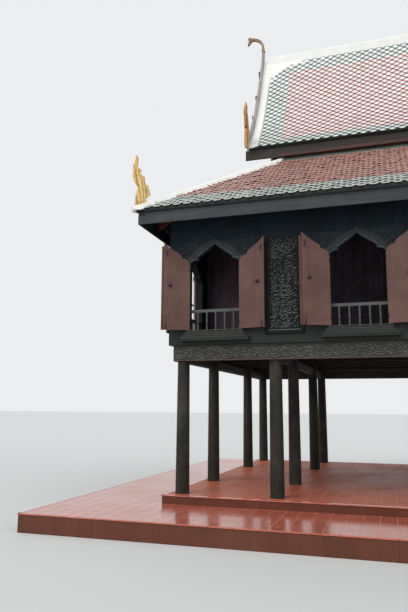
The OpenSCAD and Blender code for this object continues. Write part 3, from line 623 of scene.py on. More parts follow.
def make_wood_figure():
    """Grain of sawn or turned timber: darker years, streaks and pores along the grain, and drying checks."""
    group, given, result = shader_group(
        "wood_figure",
        [("Vector", "Vector", None), ("Colour", "Color", None), ("Contrast", "Float", 0.5),
         ("Fineness", "Float", 1.0), ("Checks", "Float", 0.0)],
        [("Colour", "Color"), ("Height", "Float")],
    )
    base, contrast = given["Colour"], given["Contrast"]
    vector = enlarged(group, given["Vector"], given["Fineness"])
    years = noise(group, vector, 9.0, 6.0, 0.6, 0.6)
    pores = noise(group, vector, 46.0, 4.0, 0.7)
    splits = noise(group, vector, 13.0)
    dark = darkened(group, base, 0.34, 0.32, 0.31)
    streaked = mixed(group, times(group, ramp(group, years, 0.42, 0.66), contrast), base, dark)
    lines = times(group, times(group, ramp(group, pores, 0.52, 0.7), contrast), 0.6)
    grained = mixed(group, lines, streaked, dark)
    apart = maths(group, "ABSOLUTE", maths(group, "SUBTRACT", splits, 0.5))
    check = times(group, one_less(group, ramp(group, apart, 0.004, 0.022)), given["Checks"])
    feed(group, result["Colour"], mixed(group, check, grained, (0.006, 0.005, 0.004, 1)))
    depth = maths(group, "ADD", years, times(group, pores, 0.5))
    feed(group, result["Height"], maths(group, "SUBTRACT", depth, times(group, check, 0.7)))
    return group


def make_weathering():
    """Dust or stain that settles in soft patches."""
    group, given, result = shader_group(
        "weathering",
        [("Vector", "Vector", None), ("Colour", "Color", None), ("Dust", "Color", None),
         ("Amount", "Float", 0.4), ("Size", "Float", 1.0)],
        [("Colour", "Color"), ("Mask", "Float")],
    )
    broad = noise(group, enlarged(group, given["Vector"], given["Size"]), 1.4, 9.0, 0.62)
    mask = times(group, ramp(group, broad, 0.4, 0.68), given["Amount"])
    feed(group, result["Colour"], mixed(group, mask, given["Colour"], given["Dust"]))
    feed(group, result["Mask"], mask)
    return group


def make_board_joints():
    """Boards side by side along one coordinate: dark joints and a tone for each board."""
    group, given, result = shader_group(
        "board_joints",
        [("Place", "Float", 0.0), ("Width", "Float", 0.2), ("Joint", "Float", 0.02)],
        [("Joint", "Float"), ("Tone", "Float")],
    )
    share = maths(group, "DIVIDE", given["Place"], given["Width"])
    across = maths(group, "FRACT", share)
    from_edge = maths(group, "MINIMUM", across, one_less(group, across))
    feed(group, result["Joint"], maths(group, "LESS_THAN", from_edge, given["Joint"]))
    tone = add(group, "ShaderNodeTexWhiteNoise", noise_dimensions="1D")
    feed(group, tone.inputs["W"], maths(group, "FLOOR", share))
    feed(group, result["Tone"], tone.outputs["Value"])
    return group


GROUP_MAKERS = {
    "wood_figure": make_wood_figure,
    "weathering": make_weathering,
    "board_joints": make_board_joints,
}
GROUPS = {}


def use_group(tree, name, **values):
    """A node of a shader group, which is made at its first use."""
    if name not in GROUPS:
        GROUPS[name] = GROUP_MAKERS[name]()
    node = add(tree, "ShaderNodeGroup", node_tree=GROUPS[name])
    for label, value in values.items():
        feed(tree, node.inputs[label], value)
    return node


# Materials

ALONG = {"x": (0.09, 1.0, 1.0), "y": (1.0, 0.09, 1.0), "z": (1.0, 1.0, 0.07)}
MATERIALS = {}


def finish_of(name, maker, *values, **named):
    """A material that is made once."""
    if name not in MATERIALS:
        MATERIALS[name] = maker(name, *values, **named)
    return MATERIALS[name]


def wood(name, *values, **named):
    return finish_of(name, timber, *values, **named)


def carving(name, *values, **named):
    return finish_of(name, relief_wood_painted_light, *values, **named)


def dress(material, *names):
    """Gives CAD nodes their material."""
    for name in names:
        slots = nodes[name].data.materials
        slots.clear()
        slots.append(material)


def surface(name, roughness, coat=0.0, metallic=0.0, specular=0.5):
    """An empty material: its tree and its surface shader."""
    material = bpy.data.materials.new(name)
    material.use_nodes = True
    tree = material.node_tree
    tree.nodes.clear()
    output = add(tree, "ShaderNodeOutputMaterial")
    shader = add(tree, "ShaderNodeBsdfPrincipled", in_Roughness=roughness, in_Metallic=metallic,
                 in_Coat_Weight=coat, in_Coat_Roughness=0.12, in_Specular_IOR_Level=specular)
    tree.links.new(shader.outputs[0], output.inputs[0])
    return material, tree, shader


def place(tree, scale=(1, 1, 1)):
    """Object coordinates, stretched along the axes."""
    here = add(tree, "ShaderNodeTexCoord")
    stretch = add(tree, "ShaderNodeMapping", in_Scale=scale)
    tree.links.new(here.outputs["Object"], stretch.inputs["Vector"])
    return stretch.outputs["Vector"]


def facing_up(tree):
    """How far a surface faces up, from -1 to 1."""
    return split(tree, add(tree, "ShaderNodeNewGeometry").outputs["Normal"])["Z"]


def weathered(tree, base, dust, amount, size, scale=(1, 1, 1)):
    """A colour with patches of another, and the mask of the patches."""
    node = use_group(tree, "weathering", Vector=place(tree, scale), Colour=base, Dust=dust, Amount=amount,
                     Size=size)
    return node.outputs["Colour"], node.outputs["Mask"]


def bump(tree, shader, height, strength, distance):
    node = add(tree, "ShaderNodeBump", in_Strength=strength, in_Distance=distance)
    tree.links.new(height, node.inputs["Height"])
    tree.links.new(node.outputs["Normal"], shader.inputs["Normal"])


def timber(name, base, along, roughness, contrast, dust=None, dust_amount=0.0, board=0.0, depth=0.006,
           toned=False, checks=0.0, specular=0.5, foot=None):
    """Timber with its grain along an axis, dust on it, boards of a width where one is given, a tone attribute
    where it is toned, and a colour that rises from its foot, given as (low, high, colour)."""
    material, tree, shader = surface(name, roughness, specular=specular)
    figure = use_group(tree, "wood_figure", Vector=place(tree, ALONG[along]), Colour=base, Contrast=contrast,
                       Checks=checks)
    result, height = figure.outputs["Colour"], figure.outputs["Height"]
    if board:
        here = split(tree, place(tree))
        joints = use_group(tree, "board_joints", Place=maths(tree, "ADD", here["X"], here["Y"]), Width=board,
                           Joint=0.018)
        tone, joint = times(tree, joints.outputs["Tone"], 0.35), joints.outputs["Joint"]
        result = mixed(tree, tone, result, darkened(tree, result, 0.5, 0.5, 0.5))
        result = mixed(tree, joint, result, (0.004, 0.004, 0.004, 1))
        height = maths(tree, "SUBTRACT", height, times(tree, joint, 1.5))
    if toned:
        result = mixed(tree, attribute(tree, "tone"), result, darkened(tree, result, 0.5, 0.46, 0.44))
    if dust:
        result, _ = weathered(tree, result, dust, dust_amount, 1.2)
    if foot:
        low, high, risen = foot
        near = one_less(tree, ramp(tree, split(tree, place(tree))["Z"], low, high))
        result = mixed(tree, times(tree, near, 0.9), result, risen)
    tree.links.new(result, shader.inputs["Base Color"])
    bump(tree, shader, height, 0.5, depth)
    return material


def relief_wood_painted_light(name, base, ground, dust, foot=None):
    """Carving that is darkened in its depth, by the rise attribute, as painted shade, lightened where it
    faces up as a painted highlight and darkened where it faces down as painted shade, and paler towards its
    foot, between two heights, where they are given."""
    # dust is the pale colour of the painted highlight and of the foot; ground is the colour of the painted
    # shade and of the dark patches
    material, tree, shader = surface(name, 0.6, specular=0.3)
    figure = use_group(tree, "wood_figure", Vector=place(tree), Colour=base, Contrast=0.3, Fineness=2.0)
    # painted shade: the lower a point lies in the carving, the nearer it is to the ground colour
    depth = ramp(tree, attribute(tree, "rise"), 0.05, 0.75)
    result = mixed(tree, depth, ground, figure.outputs["Colour"])
    painted_light_facing = facing_up(tree)
    # painted highlight: faces that look up take the pale colour
    result = mixed(tree, times(tree, ramp(tree, painted_light_facing, 0.2, 0.75), 0.9), result, dust)
    if foot:
        low, high = foot
        near = ramp(tree, split(tree, place(tree))["Z"], high, low)
        result = mixed(tree, times(tree, near, 0.1), result, dust)
    # painted shade: faces that look down take the ground colour
    result = mixed(tree, times(tree, ramp(tree, painted_light_facing, -0.15, -0.75), 0.8), result, ground)
    result, _ = weathered(tree, result, ground, 0.5, 5.0)
    tree.links.new(result, shader.inputs["Base Color"])
    bump(tree, shader, figure.outputs["Height"], 0.4, 0.003)
    return material


def glazed_tile(name, faces, rim_glaze_and_sheen, sides, gap, rim_width, variety, coat, specular):
    """Glazed lozenge tiles. The tint attribute picks red or green from each pair, and the tone attribute
    shades each tile. The across and up attributes place the rim of the lower edges and the side corners,
    which are darkened as painted shadow, and the fall attribute marks the side of the tile under its rim,
    which is coloured as painted shade."""
    material, tree, shader = surface(name, 0.3, coat, specular=specular)
    labels = ("tint", "tone", "across", "up", "fall")
    tint, tone, across, up, fall = (attribute(tree, label) for label in labels)
    # On the upper roof these faces are near white with a painted sky reflection.
    face = mixed(tree, tint, *faces)
    dark = darkened(tree, face, 0.42, 0.38, 0.36)
    face = mixed(tree, times(tree, ramp(tree, tone, 0.35, 1.0), variety), face, dark)
    face, _ = weathered(tree, face, ink(96, 92, 80), variety * 0.5, 3.0)
    face, mask = weathered(tree, face, ink(222, 220, 208), 0.25, 14.0)
    aside = maths(tree, "ABSOLUTE", across)
    inward = maths(tree, "SUBTRACT", up, aside)
    rim = one_less(tree, ramp(tree, inward, rim_width * 0.5, rim_width))
    # The rims: the glaze's own colour on the upper roof, and a pale painted sky reflection on the lower roof.
    result = mixed(tree, rim, face, mixed(tree, tint, *rim_glaze_and_sheen))
    # Painted shadow at the side corners, where tiles meet under the tips.
    result = mixed(tree, ramp(tree, aside, 0.66, 0.84), result, gap)
    # Painted shade on the side of the tile under its rim.
    result = mixed(tree, ramp(tree, fall, 0.15, 0.4), result, mixed(tree, tint, *sides))
    tree.links.new(result, shader.inputs["Base Color"])
    tree.links.new(maths(tree, "ADD", times(tree, mask, 0.8), 0.22), shader.inputs["Roughness"])
    bump(tree, shader, noise(tree, place(tree), 60.0, 3.0), 0.25, 0.003)
    return material


def paving_tile(name, base, worn, roughness, coat, specular=0.5):
    """Sealed terracotta: a tone for each tile, a soft sheen and worn patches."""
    material, tree, shader = surface(name, roughness, coat, specular=specular)
    result = mixed(tree, attribute(tree, "tone"), base, darkened(tree, base, 0.8, 0.76, 0.74))
    result, mask = weathered(tree, result, worn, 0.35, 0.7)
    result, _ = weathered(tree, result, ink(104, 54, 42), 0.28, 22.0)
    tree.links.new(result, shader.inputs["Base Color"])
    tree.links.new(maths(tree, "ADD", times(tree, mask, 0.4), roughness), shader.inputs["Roughness"])
    bump(tree, shader, noise(tree, place(tree), 35.0, 5.0), 0.12, 0.002)
    return material


def stucco(name, base, stain, amount=0.55, side=None):
    """Lime stucco with grey streaks that run down and a trowelled surface, and another colour on upright
    sides where one is given."""
    material, tree, shader = surface(name, 0.82)
    if side:
        base = mixed(tree, ramp(tree, facing_up(tree), 0.3, 0.7), side, base)
    result, _ = weathered(tree, base, stain, amount, 2.6, (1, 1, 0.3))
    result, _ = weathered(tree, result, stain, amount * 0.6, 11.0)
    tree.links.new(result, shader.inputs["Base Color"])
    bump(tree, shader, noise(tree, place(tree), 18.0, 8.0), 0.4, 0.008)
    return material


def gilding(name, gold, rubbed):
    """Ochre gilding over carved flame strokes, rubbed through to the ground in the grooves."""
    material, tree, shader = surface(name, 0.42, metallic=0.25)
    lines = add(tree, "ShaderNodeTexWave", bands_direction="DIAGONAL", in_Scale=5.5, in_Distortion=6.0,
                in_Detail=2.0)
    tree.links.new(place(tree, (1, 1, 0.3)), lines.inputs["Vector"])
    ground = mixed(tree, 0.45, rubbed, gold)
    result = mixed(tree, ramp(tree, lines.outputs["Fac"], 0.05, 0.4), ground, gold)
    result, _ = weathered(tree, result, rubbed, 0.45, 5.0, (1, 1, 0.6))
    tree.links.new(result, shader.inputs["Base Color"])
    bump(tree, shader, lines.outputs["Fac"], 0.8, 0.02)
    return material


def iron(name, base):
    """Pitted iron with rust in patches."""
    material, tree, shader = surface(name, 0.5, metallic=0.6)
    result, _ = weathered(tree, base, ink(96, 66, 50), 0.6, 30.0)
    tree.links.new(result, shader.inputs["Base Color"])
    bump(tree, shader, noise(tree, place(tree), 160.0), 0.3, 0.002)
    return material


# Paving of the plinth

# Width, drop and rounding of a nosing, and how far the risers stand in under it
NOSE, NOSE_DROP, NOSE_ROUND = 0.075, 0.018, 0.012
RISER_INSET = 0.015


def paving_template(looks):
    """One tile: a slab with chamfered edges, its upper face at height 0."""
    edge = looks.thickness * 0.6
    side = looks.pitch - looks.joint
    deselect()
    bpy.ops.mesh.primitive_plane_add(size=1, location=(0, 0, 0))
    piece = bpy.context.object
    size = Matrix.Diagonal((side, side, 1, 1))
    piece.data.transform(Matrix.Translation((0, 0, -looks.thickness)) @ size)
    edit_all(piece)
    bpy.ops.mesh.extrude_region_move(
        TRANSFORM_OT_translate={"value": (0, 0, looks.thickness - edge), "orient_type": "GLOBAL"}
    )
    bpy.ops.mesh.inset(thickness=edge, depth=edge)
    bpy.ops.object.mode_set(mode="OBJECT")
    top = max(v.co.z for v in piece.data.vertices)
    piece.data.transform(Matrix.Translation((0, 0, -top)))
    points, faces = take(piece)
    low = points[:, 2].min() + 1e-6
    return points, [f for f in faces if points[list(f), 2].max() > low]


def nosing_template(looks):
    """A rounded edge tile, one metre wide before it is cut to its place."""
    arc = [(NOSE_ROUND - NOSE_ROUND * math.sin(a), NOSE_ROUND * math.cos(a) - NOSE_ROUND)
           for a in (0, math.pi / 6, math.pi / 3, math.pi / 2)]
    line = [(NOSE - looks.joint, 0)] + arc + [(0, -NOSE_DROP), (0.02, -NOSE_DROP)]
    gap = looks.joint / 2 / looks.pitch
    points = [(s, y, z) for s in (-0.5 + gap, 0.5 - gap) for y, z in line]
    n = len(line)
    faces = [(i, i + 1, n + i + 1, n + i) for i in range(n - 1)]
    faces += [tuple(range(n))[::-1], tuple(range(n, 2 * n))]
    return np.array(points), faces


def joint_places(low, high, phase, pitch):
    """Middles of the tiles between two edges, as (middle, width): whole tiles, and cut ones at the edges."""
    found = []
    for i in range(math.floor((low - phase) / pitch), math.ceil((high - phase) / pitch)):
        start, end = max(low, phase + i * pitch), min(high, phase + (i + 1) * pitch)
        if end - start > 0.02:
            found.append(((start + end) / 2, end - start))
    return found


def tile_matrix(at, width, depth, looks, turn=Matrix.Identity(4)):
    """Places the unit tile: stretched to a cut width, then turned and moved."""
    unit = looks.pitch - looks.joint
    size = Matrix.Diagonal(((width - looks.joint) / unit, (depth - looks.joint) / unit, 1, 1))
    return Matrix.Translation(at) @ turn @ size


class HOUSE_OT_paving(bpy.types.Operator):
    """Paves both steps of the plinth with tiles, risers and rounded nosings"""

    bl_idname = "house.paving"
    bl_label = "Paving"

    def execute(self, context):
        looks = context.scene.house_paving
        rng = np.random.default_rng(7)
        tile, nosing = paving_template(looks), nosing_template(looks)
        open_air = finish_of("terracotta_paving", paving_tile, looks.tile, ink(212, 132, 108), 0.24, 0.45)
        sheltered = finish_of("sheltered_paving", paving_tile, looks.shaded, ink(184, 104, 82), 0.45, 0.0,
                              0.15)
        dull = finish_of("terracotta_risers", paving_tile, looks.riser, ink(116, 68, 50), 0.4, 0.05, 0.3)
        bed = finish_of("mortar_bed", stucco, looks.mortar, ink(164, 100, 82), 0.4, looks.stain)
        steps = (("lower_plinth", "upper_plinth", open_air), ("upper_plinth", None, sheltered))
        for name, inner, top in steps:
            low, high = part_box(name)
            step = build(name + "_bed", *self.core(low, high, looks), bed, "terracotta")
            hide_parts(name)
            sides, noses = self.edges(low, high, looks)
            for label, template, places, finish in (
                ("_tiles", tile, self.tops(low, high, inner, looks), top),
                ("_risers", tile, sides, dull),
                ("_nosing", nosing, noses, open_air),
            ):
                points, faces, copy = spread(template, places)
                tone = rng.random(len(places))[copy]
                build(name + label, points, faces, finish, "terracotta", {"tone": tone})
        return {"FINISHED"}

    def core(self, low, high, looks):
        """The mortar bed of a step, as far inside its faces as the tiles are thick."""
        shy = looks.thickness
        less = 2 * (RISER_INSET + shy)
        return block((high.x - low.x - less, high.y - low.y - less, high.z - low.z - shy), 0.001,
                     ((low.x + high.x) / 2, (low.y + high.y) / 2, (low.z + high.z - shy) / 2))

    def tops(self, low, high, inner, looks):
        """Tiles on a step, but for those well under the step above."""
        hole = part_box(inner) if inner else None
        pitch = looks.pitch
        return [tile_matrix((x, y, high.z), width, depth, looks)
                for y, depth in joint_places(low.y + NOSE, high.y - NOSE, low.y + NOSE, pitch)
                for x, width in joint_places(low.x + NOSE, high.x - NOSE, looks.phase, pitch)
                if not (hole and hole[0].x + pitch < x < hole[1].x - pitch
                        and hole[0].y + pitch < y < hole[1].y - pitch)]

    def edges(self, low, high, looks):
        """Tiles up the four sides of a step, and nosings along their upper edges."""
        sides, noses = [], []
        height = high.z - low.z - NOSE_DROP
        lengthwise, crosswise = (high.x, -low.y, looks.phase), (high.y, high.x, low.y + NOSE)
        for turn in range(4):
            half, reach, phase = crosswise if turn % 2 else lengthwise
            for x, width in joint_places(-half + RISER_INSET, half - RISER_INSET, phase, looks.pitch):
                at = (x, -reach + RISER_INSET, low.z + height / 2)
                sides.append(quarter(turn) @ tile_matrix(at, width, height, looks, UPRIGHT))
            for x, width in joint_places(-half, half, phase, looks.pitch):
                noses.append(quarter(turn) @ Matrix.Translation((x, -reach, high.z)) @ along_x(width))
        return sides, noses


# Timber


class HOUSE_OT_timber(bpy.types.Operator):
    """Finishes the posts, beams, walls and roof timbers, and lays the floor boards"""

    bl_idname = "house.timber"
    bl_label = "Timber"

    def execute(self, context):
        looks = context.scene.house_timber
        for finish, names in (
            (wood("post_timber", looks.post, "z", 0.65, 0.9, looks.dust, 0.4, depth=0.02, checks=0.8,
                  specular=0.3),
             ("outer_posts", "inner_posts")),
            (wood("beam_timber_y", looks.dark, "y", 0.65, 0.6, looks.dust, 0.1, specular=0.3),
             ("cross_beams", "tie_beams")),
            (wood("beam_timber_x", looks.dark, "x", 0.65, 0.6, looks.dust, 0.1, specular=0.3),
             ("floor_joists", "wall_plates", "upper_plates", "purlins", "ridge_beam")),
            (wood("truss_timber", looks.dark, "z", 0.6, 0.6),
             ("king_posts", "principal_rafters")),
            (wood("wall_timber", looks.wall, "z", 0.6, 0.5, ink(30, 40, 50), 0.4, board=0.2, specular=0.2,
                  foot=(3.4, 3.72, looks.wall_dust)),
             ("front_wall", "back_wall", "left_wall", "right_wall")),
            (wood("red_timber", looks.rafter, "z", 0.7, 0.6, ink(70, 44, 38), 0.5, board=0.18),
             ("upper_side_walls", "gable_walls")),
            (wood("inner_timber", looks.inner, "z", 0.7, 0.8, looks.ground, 0.5, board=0.24),
             ("inner_walls",)),
            (wood("rafter_timber", looks.rafter, "y", 0.7, 0.6, ink(60, 40, 36), 0.6),
             ("lower_rafters", "hip_rafters")),
            (wood("turned_timber", ink(74, 78, 76), "z", 0.6, 0.4, looks.worn, 0.3, depth=0.002),
             ("window_balustrades",)),
        ):
            dress(finish, *names)
        carved = wood("carved_timber", looks.carved, "x", 0.7, 0.35, looks.relief, 0.35, depth=0.002,
                      specular=0.3)
        for finish, width, slot, names in (
            (wood("eaves_timber", looks.fascia, "x", 0.6, 0.7, looks.dust, 0.25, checks=0.5),
             0.005, "dark_timber", ("lower_fascias",)),
            (wood("high_eaves_timber", looks.upper_fascia, "x", 0.65, 0.7, looks.dust, 0.2, checks=0.5,
                  specular=0.3),
             0.005, "dark_timber", ("upper_fascias",)),
            (carved, 0.006, "carved_timber", ("window_sills", "window_frames")),
            (wood("carving_ground", looks.ground, "z", 0.75, 0.4, looks.carved, 0.25, depth=0.003,
                  specular=0.2),
             0.006, "carved_timber", ("carved_panels",)),
            (wood("sill_beam_ground", looks.sill_ground, "x", 0.7, 0.4, looks.sill, 0.3, depth=0.003),
             0.006, "carved_timber", ("long_sill_beams", "end_sill_beams")),
        ):
            for name in names:
                softened(name, width, finish)
        self.bounce_light_boards(wood("eave_board_timber", looks.eave, "x", 0.7, 0.6, ink(56, 42, 40), 0.5))
        self.floor(looks, wood("floor_timber", looks.floor, "y", 0.5, 0.6, ink(58, 44, 38), 0.4, toned=True))
        self.door_casings(carved)
        return {"FINISHED"}

    def bounce_light_boards(self, finish):
        """A red board along the foot of each upper fascia, between the wall corners: painted reflected light,
        standing for the red that the lower roof throws up onto the fascias.
        """
        low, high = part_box("upper_fascias")
        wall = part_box("upper_side_walls")
        thick, tall = 0.012, 0.075
        board = block((wall[1].x - wall[0].x, thick, tall), 0.004, (0, 0, tall / 2))
        places = [Matrix.Translation((0, side * (high.y + thick / 2), low.z + 0.004)) for side in (-1, 1)]
        points, faces, _ = spread(board, places)
        build("bounce_light_boards", points, faces, finish, "rafter_timber")

    def floor(self, looks, finish):
        """Boards across the joists, one beside the other."""
        low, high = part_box("floor_boards")
        count = round((high.x - low.x) / looks.board)
        pitch, joint = (high.x - low.x) / count, 0.004
        board = block((pitch - joint, high.y - low.y, high.z - low.z), 0.003)
        middle = (low + high) / 2
        places = [Matrix.Translation((low.x + pitch * (i + 0.5), middle.y, middle.z)) for i in range(count)]
        points, faces, copy = spread(board, places)
        tone = np.random.default_rng(3).random(count)[copy] * 0.8
        boards = build("floor_boarding", points, faces, finish, "floor_timber", {"tone": tone})
        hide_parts("floor_boards")

    def door_casings(self, finish):
        """Casings round the doorways of the inner walls."""
        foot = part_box("inner_walls")[0].z
        head_height = 0.075
        jamb = block((0.07, 0.07, DOOR_HEIGHT), 0.006, (0, 0, DOOR_HEIGHT / 2))
        head = block((1.12, 0.08, head_height), 0.008, (0, 0, DOOR_HEIGHT + head_height / 2))
        parts = []
        for y in (-INNER_WALL_Y, INNER_WALL_Y):
            for part, x in ((jamb, -DOOR_JAMB_X), (jamb, DOOR_JAMB_X), (head, 0)):
                parts.append(moved(part, Matrix.Translation((x, y, foot))))
        build("door_casings", *gather(*parts), finish, "carved_timber")


class HOUSE_OT_carving(bpy.types.Operator):
    """Carves foliage on the panels, the sill beams and the architraves"""

    bl_idname = "house.carving"
    bl_label = "Carving"

    def execute(self, context):
        looks = context.scene.house_timber
        # For each carving finish, the last colour is its painted highlight on faces that look up, and the one
        # before it is its painted shade in the depth and under faces that look down, and the colour of its
        # dark patches.
        worn = carving("worn_edges", looks.worn, looks.carved, ink(124, 122, 108))
        scroll = foliage_scroll()
        self.panels(scroll, carving("carved_relief", looks.relief, ink(10, 13, 15), ink(146, 150, 142),
                                    (3.4, 4.7)))
        self.panel_beads(worn)
        self.beams(scroll, carving("beam_relief", looks.sill, ink(36, 37, 34), ink(150, 151, 140)),
                   carving("worn_lower_edge", looks.lower_edge, ink(58, 46, 40), ink(124, 104, 88)))
        self.architraves(carving("architrave_relief", ink(56, 64, 68), ink(28, 34, 37), ink(104, 112, 114)))
        self.spandrels(carving("wall_relief", ink(40, 48, 51), ink(14, 22, 28), ink(74, 82, 82)))
        self.sill_edges(worn)
        return {"FINISHED"}

    def carve(self, name, motif, places, finish, raised=False):
        """Copies of a carved motif, each point with its rise over the ground, or wholly raised."""
        points, faces, _ = spread(motif, places)
        rise = np.ones(len(motif[0])) if raised else np.clip(motif[0][:, 2] / FULL_RISE, 0, 1)
        rises = {"rise": np.tile(rise, len(places))}
        build(name, points, faces, finish, "carved_timber", rises, smooth=True)

    def onto_panels(self, name, motif, finish):
        """Puts a motif on each panel, and its mirror image on every other one."""
        ground = Matrix.Translation((0, -0.022, 0)) @ UPRIGHT
        places = [at @ along_x(-1 if i % 2 else 1) @ ground for i, at in enumerate(panel_places())]
        self.carve(name, motif, places, finish)

    def panels(self, scroll, finish):
        """Scrolls that lean both ways, on a ground of long and short curling leaves."""
        rng = np.random.default_rng(21)
        scrolls = [((0.12 if i % 2 else -0.12) + rng.normal(0, 0.015),
                    0.13 + 0.215 * i + rng.normal(0, 0.012)) for i in range(8)]
        parts = []
        for u, v in scrolls:
            at = Matrix.Translation((u, v, 0)) @ along_x(rng.choice((-1, 1)))
            lean = Matrix.Rotation(math.radians(rng.uniform(-60, 60)), 4, "Z")
            parts.append(moved(scroll, at @ lean))

        def flow(u, v):
            return 42 + 46 * math.sin(v * 7.5 + u * 6)

        def near(u, v, spots, distance):
            return min(math.hypot(u - a, v - b) for a, b in spots) < distance

        long_leaf = carved_leaf(0.15, 0.036, 0.35, 6)
        bends = [(u, v) for v in np.arange(0.08, 1.6, 0.107) for u in (-0.19, -0.06, 0.07)]
        bends = [(u, v) for u, v in bends if not near(u + 0.05, v + 0.05, scrolls, 0.1)]
        for u, v in bends:
            turn = flow(u, v) + rng.normal(0, 12)
            if u + 0.15 * math.cos(math.radians(turn)) < 0.26:
                parts.append(placed(long_leaf, (u, v), turn, 1.0, rng.choice((-1, 1))))
        self.onto_panels("panel_scrolls", gather(*parts), finish)
        leaves = leaf_field((-0.26, 0.03), (0.26, 1.725), 0.046, scrolls, flow, rng,
                            lambda u, v: near(u - 0.05, v - 0.05, bends, 0.035))
        self.onto_panels("panel_leaves", leaves, finish)

    def panel_beads(self, finish):
        """A worn bead along the foot of each panel."""
        self.onto_panels("panel_beads", tube([(-0.29, 0.002, 0.006), (0.29, 0.002, 0.006)], 0.013), finish)

    def beams(self, scroll, finish, edge_finish):
        """A running scroll that turns up and down by turns among curling leaves, between two beads."""
        link = tube([(-0.1, -0.05, 0), (-0.05, -0.095, 0), (0.02, -0.108, 0), (0.08, -0.09, 0),
                     (0.13, -0.045, 0)], 0.012)
        pitch, of_field = 0.225, 4
        field = pitch * of_field
        middles = [((i + 0.5) * pitch, 0) for i in range(of_field)]
        leaves = leaf_field((0, -0.112), (field, 0.112), 0.046, middles,
                            lambda u, v: 20 + 60 * math.sin(u * 14 + v * 9), np.random.default_rng(33))
        places, fields, lower, upper = [], [], [], []
        for side in range(4):
            half, out = BEAM_HALF[side % 2], BEAM_OUT[side % 2]
            count = of_field * round(2 * half / field)
            step = 2 * half / count
            for i in range(count):
                at = Matrix.Translation((-half + (i + 0.5) * step, -out, BEAM_Z))
                flip = Matrix.Diagonal((1, -1 if i % 2 else 1, 1, 1))
                places.append(quarter(side) @ at @ UPRIGHT @ flip)
            for i in range(0, count, of_field):
                at = Matrix.Translation((-half + i * step, -out, BEAM_Z))
                fields.append(quarter(side) @ at @ UPRIGHT @ along_x(step / pitch))
            for beads, z in zip((lower, upper), BEAM_BEADS_Z):
                beads.append(moved(tube([(-half, -out, z), (half, -out, z)], 0.009, 8), quarter(side)))
        self.carve("beam_scrolls", gather(scroll, link), places, finish)
        self.carve("beam_leaves", leaves, fields, finish)
        self.carve("beam_beads_lower", gather(*lower), [Matrix.Identity(4)], edge_finish, raised=True)
        self.carve("beam_beads_upper", gather(*upper), [Matrix.Identity(4)], finish, raised=True)

    def architraves(self, finish):
        """A bead along the opening, leaves along the band and a fringe of leaves over its outer edge."""
        line = arch_line(0.014).tolist()
        half = [(line[0][0], 0.02), *line]
        whole = half + [(-u, z) for u, z in half[-2::-1]]
        parts = [tube([(u, z, 0) for u, z in whole], 0.011)]
        leaf = carved_leaf(0.075, 0.042, 0.3)
        for out, lean, size, low in ((0.042, 14, 1.0, 0.0), (0.078, -30, 0.9, -0.004)):
            line = arch_line(out)
            middle = np.array([(line[0][0], 0.05), *line.tolist()])
            run = np.r_[0, np.cumsum(np.hypot(*np.diff(middle, axis=0).T))]
            for d in np.arange(0.03, run[-1] - 0.03, 0.045):
                (u, u2), (z, z2) = (np.interp((d, d + 0.01), run, axis) for axis in middle.T)
                turn = math.degrees(math.atan2(z2 - z, u2 - u)) + lean
                points, faces = placed(leaf, (u, z), turn, size)
                parts.append((points + (0, 0, low), faces))
                parts.append(mirrored(parts[-1]))
        ground = Matrix.Translation((0, -0.025, 0)) @ UPRIGHT
        self.carve("architrave_carving", gather(*parts), [at @ ground for at in window_places()], finish)

    def spandrels(self, finish):
        """Low leaves on the wall over the shoulders of each arch."""
        edge = arch_line(0.1)[::-1]
        half = leaf_field((0.01, JAMB - 0.02), (0.66, APEX + 0.06), 0.036, [],
                          lambda u, z: 70 - 90 * u + 30 * math.sin(z * 21), np.random.default_rng(5),
                          lambda u, z: z < np.interp(u, edge[:, 0], edge[:, 1]))
        motif = gather(half, mirrored(half))
        self.carve("spandrel_carving", motif, [at @ UPRIGHT for at in window_places()], finish)

    def sill_edges(self, finish):
        """A pale bead round the upper edge of each step of the sills: worn wood, and a painted highlight
        where each ledge catches light.
        """
        parts = []
        above = 0.0
        for depth, out, past in SILL_STEPS:
            corners = ((-1, 0), (-1, -out), (1, -out), (1, 0))
            parts.append(tube([((HALF_W + past) * u, y, -above) for u, y in corners], 0.005))
            above = depth
        self.carve("sill_edges", gather(*parts), window_places(), finish, raised=True)


# Roof tiles

PAST_EAVE = 0.035  # how far the lowest tiles reach past the slope
TILE_GAP = 0.008  # between two tiles of a row
HEAD_LIFT = 0.004  # how far the head of a tile stands over the slope
UNDER_FILLET = 0.03  # how far from the wall the lower tiles end
# The green rows at the ridge, the bare strip under its cap, and how far tiles go under the verges
RIDGE_ROWS, UNDER_RIDGE, UNDER_VERGE = 5, 0.12, 0.04
# The plaster corner where a verge meets the ridge: its place, and its reach along the ridge and down
CORNER_X, CORNER_Z, CORNER_ALONG, CORNER_DOWN = 3.767, 10.94, 0.92, 0.8


def half_tile(looks):
    return looks.width / 2 - TILE_GAP / 2


def tile_fall(looks):
    """How steeply a tile falls from its lifted tip to its head, 2.3 rows up."""
    return (looks.lift - HEAD_LIFT) / (looks.row * 2.3)


